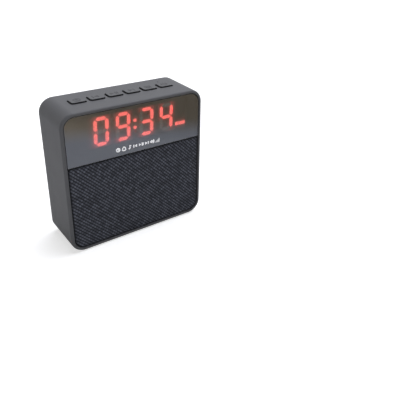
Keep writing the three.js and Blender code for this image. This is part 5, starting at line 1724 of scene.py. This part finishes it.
@dataclass
class Ports(Assembly):
    """Sockets, card mouth, jack and switch behind the port plate."""

    board_top: float = 92.25
    mouth: float = 18.45
    fit: float = 0.3
    sheet: float = 0.35
    lip: float = 0.12
    large_x: float = -15.85
    large_width: float = 13.2
    large_height: float = 5.8
    large_depth: float = 10.5
    large_corner: float = 0.7
    small_x: float = -0.5
    small_width: float = 7.6
    small_height: float = 2.8
    small_depth: float = 5.6
    small_cut: Span = (1.1, 1.2)
    small_round: float = 0.45
    small_steps: int = 6
    small_corner: float = 1.0
    jack_x: float = 12.2
    jack_z: float = 94.95
    jack_nose: float = 2.6
    jack_bore: float = 1.8
    jack_sides: int = 48
    jack_front: float = 6.05
    bore_front: float = 7.05
    bore_flare: float = 0.25
    jack_body_rear: float = 15.05
    jack_half_width: float = 3.1
    jack_height: float = 5.4
    jack_round: float = 0.3
    nose_buried: float = 0.5
    card_z: float = 89.625
    card_width: float = 11.8
    card_height: float = 1.25
    card_gap: float = 0.05
    card_corner: float = 0.2
    switch_x: float = 24.15
    switch_z: float = 94.65
    window_width: float = 7.6
    window_height: float = 5.6
    knob_travel: float = 2.0
    knob_width: float = 3.4
    knob_height: float = 4.6
    knob_face: float = 18.4
    knob_back: float = 15.35
    knob_round: float = 0.45
    knob_flat: float = 0.05
    neck_half: float = 0.8
    neck_front: float = 12.65
    neck_buried: float = 0.3
    neck_corner: float = 0.1
    grip_half: Span = (0.16, 1.1)
    grip_shifts: Triple = (-0.7, 0.0, 0.7)
    grip_depth: float = 0.2
    shade_sheet_front: float = 15.08
    shade_sheet_rear: float = 15.28
    shade_sheet_margin: float = 0.15
    shade_sheet_corner: float = 0.3
    card_shade_sheet_gap: float = 0.02
    card_shade_sheet_corner: float = 0.15
    card_shade_sheet_thickness: float = 0.1
    card_depth: float = 12.8
    socket_back: float = 9.97
    socket_shade_sheet: float = 0.2
    socket_shade_sheet_corner: float = 0.4
    socket_shade_sheet_round: float = 0.08
    socket_shade_sheet_steps: int = 3
    tongue_low: float = 95.4
    plate_face: float = 18.7
    sign_size: float = 2.0
    sign_line: float = 0.3
    sign_height: float = 0.04
    signs: tuple[tuple[Sign, float, float], ...] = (
        (Sign.POWER, 24.15, 89.2), (Sign.NOTE, 12.2, 89.6), (Sign.BOLT, -0.5, 89.6),
        (Sign.PLUG, -25.6, 95.15), (Sign.CARD, -25.6, 89.625))

    def large_outline(self) -> Outline:
        """Outline of the large socket's shell."""
        half, rise = self.large_width / 2, self.large_height / 2
        return centred(self.large_x, self.board_top + rise, half, rise, self.large_corner)

    def small_outline(self) -> Outline:
        """Outline of the small socket's shell: a rectangle whose lower corners are cut off at a slant.

        Returns:
            The outline.
        """
        half, low, high = self.small_width / 2, self.board_top, self.board_top + self.small_height
        across, up = self.small_cut
        corners = [(-half + across, low), (half - across, low), (half, low + up), (half, high), (-half, high),
                   (-half, low + up)]
        return rounded_polygon(np.array(corners) + [self.small_x, 0], self.small_round, self.small_steps)

    def switch_outline(self, x: float, half: float, rise: float, radius: float) -> Outline:
        """Rectangle at the height of the switch."""
        return centred(x, self.switch_z, half, rise, radius)

    def card_outline(self, gap: float, radius: float) -> Outline:
        """Outline of the card mouth, wider by a gap all round."""
        half, rise = self.card_width / 2 + gap, self.card_height / 2 + gap
        return centred(self.large_x, self.card_z, half, rise, radius)

    def openings(self) -> list[Outline]:
        """Outlines of the openings in the port plate.

        Returns:
            One outline for each socket, the jack, the switch and the card mouth.
        """
        half, rise = self.small_width / 2 + self.fit, self.small_height / 2 + self.fit
        window, window_rise = self.window_width / 2, self.window_height / 2
        return [
            self.large_outline().grown(self.fit),
            centred(self.small_x, self.board_top + self.small_height / 2, half, rise, self.small_corner),
            circle(self.jack_x, self.jack_z, self.jack_nose + self.fit, self.jack_sides),
            self.switch_outline(self.switch_x, window, window_rise, window_rise - self.fit),
            self.card_outline(self.card_gap, self.card_corner),
        ]

    def socket_shell(self, outline: Outline, depth: float) -> Shell:
        """Folded metal shell of a socket: a ring whose section is the sheet with rounded lips at the mouth.

        Args:
            outline: Outside of the shell.
            depth: Length of the shell.

        Returns:
            A closed surface.
        """
        mouth, lip, sheet = self.mouth, self.lip, self.sheet
        outside = [(0, mouth - depth), (0, mouth - lip), (lip / 3, mouth - lip / 3), (lip, mouth)]
        inside = [(sheet - inset, level) for inset, level in reversed(outside)]
        return swept(outline, outside + inside, Plane.FRONT, ring=True)

    def build_sockets(self) -> None:
        """Makes the two folded socket shells."""
        for name, outline, depth, node in (
                ("large_socket", self.large_outline(), self.large_depth, "usb_shell"),
                ("small_socket", self.small_outline(), self.small_depth, "charge_shell")):
            piece = add_object(name, self.socket_shell(outline, depth))
            self.paints.enrol(piece, Finishes.STEEL, "case", "steel", [node], flat=True)

    def build_jack(self) -> None:
        """Makes the round jack: a body on the board, a turned nose and a bore."""
        rise = self.jack_height / 2
        body = centred(self.jack_x, self.board_top + rise, self.jack_half_width, rise, self.jack_round)
        piece = add_object("round_jack", block(body, self.jack_front, self.jack_body_rear, Plane.FRONT))
        radii = (self.jack_nose, self.jack_bore)
        nose, bore = (circle(self.jack_x, self.jack_z, radius, self.jack_sides) for radius in radii)
        profile = plate_profile(self.jack_body_rear - self.nose_buried, self.mouth, self.jack_round)
        combine(piece, [swept(nose, profile, Plane.FRONT)], Operation.JOIN)
        combine(piece, [hole(bore, self.bore_front, self.mouth, self.bore_flare, Plane.FRONT)], Operation.CUT)
        self.paints.enrol(piece, Finishes.BLACK, "case", "black_plastic", ["audio_jack"], flat=True)

    def build_knob(self) -> None:
        """Makes the knob of the slide switch at the left end of its travel, with three grip lines."""
        x, half, rise = self.switch_x - self.knob_travel / 2, self.knob_width / 2, self.knob_height / 2
        profile = plate_profile(self.knob_back, self.knob_face, self.knob_round)
        outline = self.switch_outline(x, half, rise, half - self.knob_flat)
        piece = add_object("slide_knob", swept(outline, profile, Plane.FRONT))
        neck = self.switch_outline(x, self.neck_half, self.neck_half, self.neck_corner)
        neck_rear = self.knob_back + self.neck_buried
        combine(piece, [block(neck, self.neck_front, neck_rear, Plane.FRONT)], Operation.JOIN)
        low, high = self.knob_face - self.grip_depth, self.knob_face + TOOL_REACH
        places = [x + shift for shift in self.grip_shifts]
        lines = [self.switch_outline(place, *self.grip_half, self.neck_corner) for place in places]
        combine(piece, [block(line, low, high, Plane.FRONT) for line in lines], Operation.CUT)
        self.paints.enrol(piece, Finishes.KNOB, "switch_slider", "knob", ["switch_knob"], flat=True)

    def enrol_shade_sheet(self, piece: Object) -> None:
        """Enrols a dark piece that only closes the view into the case, as painted shade."""
        self.paints.enrol(piece, Finishes.BLACK, "case", "black_plastic")

    def build_switch_shade_sheet(self) -> None:
        """Makes the dark plate behind the switch's window, with a slot for the neck of the knob, as painted
        shade in the window.
        """
        margin, low, high = self.shade_sheet_margin, self.shade_sheet_front, self.shade_sheet_rear
        half, rise = self.window_width / 2 + margin, self.window_height / 2 + margin
        outline = self.switch_outline(self.switch_x, half, rise, self.shade_sheet_corner)
        piece = add_object("switch_shade_sheet", block(outline, low, high, Plane.FRONT))
        slot_rise = self.neck_half + margin
        slot = self.switch_outline(
            self.switch_x, slot_rise + self.knob_travel / 2, slot_rise, self.neck_corner)
        combine(piece, [block(slot, low - TOOL_REACH, high + TOOL_REACH, Plane.FRONT)], Operation.CUT)
        self.enrol_shade_sheet(piece)

    def build_card_shade_sheet(self) -> None:
        """Makes the thin dark sleeve in the mouth of the card slot, as painted shade in the mouth."""
        outline = self.card_outline(-self.card_shade_sheet_gap, self.card_shade_sheet_corner)
        inner = self.shade_sheet_rear - self.card_depth
        sleeve = hollow(outline, self.card_shade_sheet_thickness, inner, self.shade_sheet_rear, Plane.FRONT)
        self.enrol_shade_sheet(add_object("card_shade_sheet", sleeve))

    def build_socket_shade_sheet(self) -> None:
        """Makes the dark plate at the inner end of the large socket, under its tongue, as painted shade in the
        socket.
        """
        inset = self.sheet + self.shade_sheet_margin
        left, right = (self.large_x + side * (self.large_width / 2 - inset) for side in BOTH)
        outline = rectangle(left, right, self.board_top + inset, self.tongue_low, self.socket_shade_sheet_corner)
        profile = plate_profile(
            self.socket_back, self.socket_back + self.socket_shade_sheet, self.socket_shade_sheet_round,
            self.socket_shade_sheet_steps)
        self.enrol_shade_sheet(add_object("socket_shade_sheet", swept(outline, profile, Plane.FRONT)))

    def build_signs(self) -> None:
        """Prints a generic sign beside each socket, the switch and the card mouth."""
        low, high = self.plate_face - self.sign_height, self.plate_face + self.sign_height
        maker = SignMaker(self.sign_size, self.sign_line, low, high, Plane.FRONT)
        piece = fused("port_signs", [solid for sign, x, z in self.signs for solid in maker.sign(sign, x, z)])
        self.paints.enrol(piece, Finishes.SIGN, "case", "black_plastic")


@dataclass
class Suspension(Assembly):
    """Rubber surround and ribbed spider, between the basket of the loudspeaker and its cone.

    Each is made of equal wedges.
    """

    middle: float = 34.3
    wedges: int = 8
    facets: int = 8
    sheet: float = 0.4
    lip_inner: float = 14.7
    cone_radius: float = 15.5
    flange_radius: float = 19.1
    lip_outer: float = 20.2
    lip_depth: float = -13.5
    roll_steps: int = 16
    spider_inner: float = 6.5
    spider_waves: int = 2
    spider_steps: int = 32
    spider_flat: float = 11.3
    spider_outer: float = 12.9
    spider_depth: float = -3.6
    spider_lift: float = 1.1
    spider_rise: float = 0.45

    def roll(self) -> Array:
        """Middle line of the surround's section: a lip on the cone, a half circle, a lip on the basket.

        Returns:
            Radii and depths.
        """
        radius = (self.flange_radius - self.cone_radius) / 2
        turn = np.linspace(np.pi, 0, self.roll_steps + 1)
        out, depth = self.cone_radius + radius * (1 + np.cos(turn)), self.lip_depth - radius * np.sin(turn)
        lips = [(reach, self.lip_depth) for reach in (self.lip_inner, self.lip_outer)]
        return np.vstack([lips[0], np.stack([out, depth], 1), lips[1]])

    def waves(self) -> Array:
        """Middle line of the spider's section: sine waves out from the coil, then a flat rim on the basket.

        Returns:
            Radii and depths.
        """
        share = np.linspace(0, 1, self.spider_steps + 1)
        out = self.spider_inner + share * (self.spider_flat - self.spider_inner)
        wave = self.spider_rise * np.sin(2 * np.pi * self.spider_waves * share)
        depth = self.spider_depth - self.spider_lift + wave
        reaches = (self.spider_flat + self.spider_lift / 2, self.spider_outer)
        return np.vstack([np.stack([out, depth], 1), [(reach, self.spider_depth) for reach in reaches]])

    def wedge(self, line: Array, turn: float) -> Shell:
        """Carries the section of a sheet round part of a circle.

        The section is its middle line, moved half the sheet's thickness along its normals to both sides.

        Args:
            line: Radii and depths of the middle line.
            turn: Angle of the middle of the wedge.

        Returns:
            A closed surface.
        """
        along = unit(np.gradient(line, axis=0))
        side = np.stack([-along[:, 1], along[:, 0]], 1) * self.sheet / 2
        section = np.concatenate([line + side, (line - side)[::-1]])
        angles = turn + np.linspace(-1, 1, self.facets + 1)[:, None] * np.pi / self.wedges
        across, up = section[:, 0] * np.cos(angles), self.middle + section[:, 0] * np.sin(angles)
        return tube(placed(across, up, section[:, 1], Plane.FRONT))

    def build_ring(self, label: str, line: Array, fixed: float, moved: float) -> list[Object]:
        """Makes the wedges of a ring.

        Args:
            label: Start of the pieces' names.
            line: Middle line of the section.
            fixed: Radius on the case side, at which a point is worked out for each wedge.
            moved: Radius on the cone side, at which a point is worked out for each wedge.

        Returns:
            The wedges.
        """
        pieces = []
        centre = np.array([0.0, line[:, 1].mean(), self.middle])
        for number in range(self.wedges):
            turn = 2 * np.pi * number / self.wedges
            piece = add_object(f"{label}_{number + 1}", self.wedge(line, turn))
            out = np.array([np.cos(turn), 0.0, np.sin(turn)])
            start, end = (tuple((centre + radius * out) * METRES) for radius in (fixed, moved))
            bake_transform(piece)
            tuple(start)
            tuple(end)
            pieces.append(piece)
        return pieces

    def build(self) -> None:
        """Makes the surround and the spider in place of their plain solids."""
        narrow = np.cos(np.pi / self.wedges)
        spider_moved = self.spider_inner + self.sheet
        surround = self.build_ring("surround", self.roll(), self.flange_radius * narrow, self.cone_radius)
        spider = self.build_ring("spider", self.waves(), self.spider_flat * narrow, spider_moved)
        for piece in surround:
            self.paints.enrol(piece, Finishes.RUBBER, "", "rubber", ["speaker_surround"])
        for piece in spider:
            self.paints.enrol(piece, Finishes.SPIDER, "", "spider", ["speaker_spider"])


@dataclass
class InnerWorks(Assembly):
    """Pieces inside the case, which keep their solids and get a finish each, by the start of their names."""

    finishes: tuple[tuple[Finishes, tuple[str, ...]], ...] = (
        (Finishes.BLACK, ("front_baffle", "grille_frame", "tact_switch", "charge_tongue", "display_block",
                          "display_header")),
        (Finishes.STEEL, ("baffle_screw", "board_screw", "card_slot", "slide_switch", "microphone",
                          "speaker_basket", "speaker_top_plate", "speaker_yoke")),
        (Finishes.WHITE, ("plunger", "usb_tongue")),
        (Finishes.BOARD, ("main_board", "display_board")),
        (Finishes.LIGHT, ("status_light",)),
        (Finishes.RUBBER, ("speaker_gasket",)),
        (Finishes.FERRITE, ("speaker_magnet",)),
        (Finishes.COPPER, ("voice_coil",)),
        (Finishes.PAPER, ("speaker_cone", "dust_cap")),
        (Finishes.LEAD, ("speaker_lead", "battery_lead")),
        (Finishes.CELL, ("battery_cell",)),
    )

    def dress(self, nodes: dict[str, Object]) -> None:
        """Gives each shown solid its finish.

        Args:
            nodes: Solids of the frame by name.
        """
        for name, node in nodes.items():
            for finish, starts in self.finishes:
                if name.startswith(starts):
                    self.paints.dress(node, finish)
                    LOG.info("%s keeps its solid, in %s", name, finish.value.name)


@dataclass
class Studio:
    """White floor, soft light, white surroundings and the camera."""

    floor_half: float = 3.0
    floor_colour: Colour = (0.74, 0.735, 0.715)
    floor_roughness: float = 0.9
    ambient: float = 0.11
    floor_glow: float = 0.62
    side_shine: Colour = (0.14, 0.14, 0.14)
    near_shine: Colour = (0.3, 0.345, 0.47)
    far_shine: Colour = (0.44, 0.28, 0.04)
    near_span: Span = (0.05, 0.1)
    far_span: Span = (0.197, 0.242)
    far_turn: float = 0.35
    sun: Triple = (0.4, 0.08, 0.87)
    sun_colour: Colour = (0.945, 0.967, 1.06)
    sun_power: float = 2.95
    sun_spread: float = 60.0
    side_place: Triple = (-0.16, -0.1, 0.05)
    side_aim: Triple = (-0.053, -0.02, 0.03)
    side_size: float = 0.08
    side_power: float = 0.035
    focal_pixels: float = 510.88
    frame_pixels: float = 400.0
    principal: Span = (235.0, 155.0)
    azimuth: float = -40.02
    elevation: float = 25.85
    roll: float = 3.16
    offset: Span = (-79.74, -4.93)
    distance: float = 374.98
    target_height: float = 50.0
    sensor: float = 36.0
    clip: Span = (0.01, 20.0)

    def glow(self, tree: Tree) -> Socket:
        """Colour that the floor adds of its own.

        It is white straight to the camera. Polished surfaces see a grey tone beside the clock, a bluish one
        close in front of it and a warm one further in front and to the right, as from a room round it.

        Args:
            tree: Tree of the floor's material.

        Returns:
            The colour's socket.
        """
        path = tree.add("LightPath").outputs
        parts = tree.axes(tree.place())
        ahead = tree.times(parts["Y"], -1.0)
        near = tree.spread(ahead, 0.0, 1.0, *self.near_span)
        far = tree.spread(tree.plus(ahead, parts["X"], self.far_turn), 0.0, 1.0, *self.far_span)
        shine = tree.blend(near, opaque(self.side_shine), opaque(self.near_shine))
        shine = tree.blend(far, shine, opaque(self.far_shine))
        glossy = tree.math("MAXIMUM", path["Is Glossy Ray"], path["Is Transmission Ray"])
        white = opaque((self.floor_glow,) * 3)
        return tree.blend(path["Is Camera Ray"], tree.blend(glossy, BLACK, shine), white)

    def build_world(self) -> None:
        """Makes surroundings that light the clock evenly.

        They look white straight from the camera, in polished surfaces and through clear ones.
        """
        world = bpy.data.worlds.new("white_studio")
        world.use_nodes = True
        bpy.context.scene.world = world
        tree = Tree(world.node_tree)
        path = tree.add("LightPath").outputs
        straight = tree.math("MAXIMUM", path["Is Camera Ray"], path["Is Glossy Ray"])
        seen = tree.math("MAXIMUM", straight, path["Is Transmission Ray"])
        strength = tree.spread(seen, self.ambient, 1.0)
        tree.put(world.node_tree.nodes["Background"], {"Color": WHITE, "Strength": strength})

    def build_floor(self) -> None:
        """Makes the floor, a plain white sheet that keeps the clock's soft shadow."""
        half = self.floor_half
        mesh = bpy.data.meshes.new("floor")
        corners = [(-half, -half, 0), (half, -half, 0), (half, half, 0), (-half, half, 0)]
        mesh.from_pydata(corners, [], [(0, 1, 2, 3)])
        floor = bpy.data.objects.new("floor", mesh)
        bpy.context.scene.collection.objects.link(floor)
        material = bpy.data.materials.new("floor_white")
        material.use_nodes = True
        tree = Tree(material.node_tree)
        tree.put(material.node_tree.nodes["Principled BSDF"], {
            "Base Color": opaque(self.floor_colour),
            "Roughness": self.floor_roughness,
            "Specular IOR Level": 0.0,
            "Emission Color": self.glow(tree),
            "Emission Strength": 1.0,
        })
        mesh.materials.append(material)

    def build_lamps(self) -> None:
        """Makes a wide soft light high up on the right, and a weak one low beside the left front edge."""
        sky = bpy.data.lights.new("skylight", "SUN")
        sky.energy, sky.color, sky.angle = self.sun_power, self.sun_colour, np.radians(self.sun_spread)
        side = bpy.data.lights.new("side_light", "AREA")
        side.energy, side.shape, side.size = self.side_power, "DISK", self.side_size
        ways = (-Vector(self.sun), Vector(self.side_aim) - Vector(self.side_place))
        for data, place, way in zip((sky, side), ((0, 0, 0), self.side_place), ways):
            lamp = bpy.data.objects.new(data.name, data)
            lamp.location, lamp.rotation_euler = place, way.to_track_quat("-Z", "Y").to_euler()
            lamp.visible_camera = lamp.visible_glossy = data is sky
            bpy.context.scene.collection.objects.link(lamp)

    def build_camera(self) -> None:
        """Sets the camera where the photograph was taken from.

        The camera's right, up and back directions follow from azimuth, elevation and roll. It stands back
        from the target by the distance and aside by the offsets, and the lens shift moves the view's middle.
        """
        azimuth, elevation, roll = np.radians([self.azimuth, self.elevation, self.roll])
        level = np.array([np.sin(azimuth), -np.cos(azimuth), 0.0])
        back = np.cos(elevation) * level + [0.0, 0.0, np.sin(elevation)]
        right = np.array([np.cos(azimuth), np.sin(azimuth), 0.0])
        up = np.cross(back, right)
        right, up = np.cos(roll) * right + np.sin(roll) * up, np.cos(roll) * up - np.sin(roll) * right
        target = np.array([0, 0, self.target_height])
        place = target - self.offset[0] * right - self.offset[1] * up + self.distance * back
        data = bpy.data.cameras.new("camera")
        data.sensor_width = self.sensor
        data.lens = self.focal_pixels * self.sensor / self.frame_pixels
        half = self.frame_pixels / 2
        data.shift_x = (half - self.principal[0]) / self.frame_pixels
        data.shift_y = (self.principal[1] - half) / self.frame_pixels
        data.clip_start, data.clip_end = self.clip
        camera = bpy.data.objects.new("camera", data)
        matrix = np.eye(4)
        matrix[:3, :3] = np.stack([right, up, back], 1)
        matrix[:3, 3] = place * METRES
        camera.matrix_world = Matrix(matrix.tolist())
        bpy.context.scene.collection.objects.link(camera)
        bpy.context.scene.camera = camera
        bpy.context.scene.view_settings.view_transform = "Standard"


def main() -> None:
    """Builds the studio and the clock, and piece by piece."""
    logging.basicConfig(level=logging.INFO, format="%(name)s: %(message)s")
    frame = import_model()
    studio = Studio()
    studio.build_camera()
    studio.build_world()
    studio.build_floor()
    studio.build_lamps()
    paints = Paints()
    housing, keys, front, ports = (kind(paints) for kind in (Housing, Keys, Front, Ports))
    housing.build_case(keys.holes())
    housing.build_feet()
    housing.build_plate(ports.openings())
    keys.build()
    front.build_lens()
    front.build_cloth()
    Display(paints).build()
    ports.build_sockets()
    ports.build_jack()
    ports.build_knob()
    ports.build_switch_shade_sheet()
    ports.build_card_shade_sheet()
    ports.build_socket_shade_sheet()
    ports.build_signs()
    Suspension(paints).build()
    InnerWorks(paints).dress(frame["nodes"])


if __name__ == "__main__":
    main()
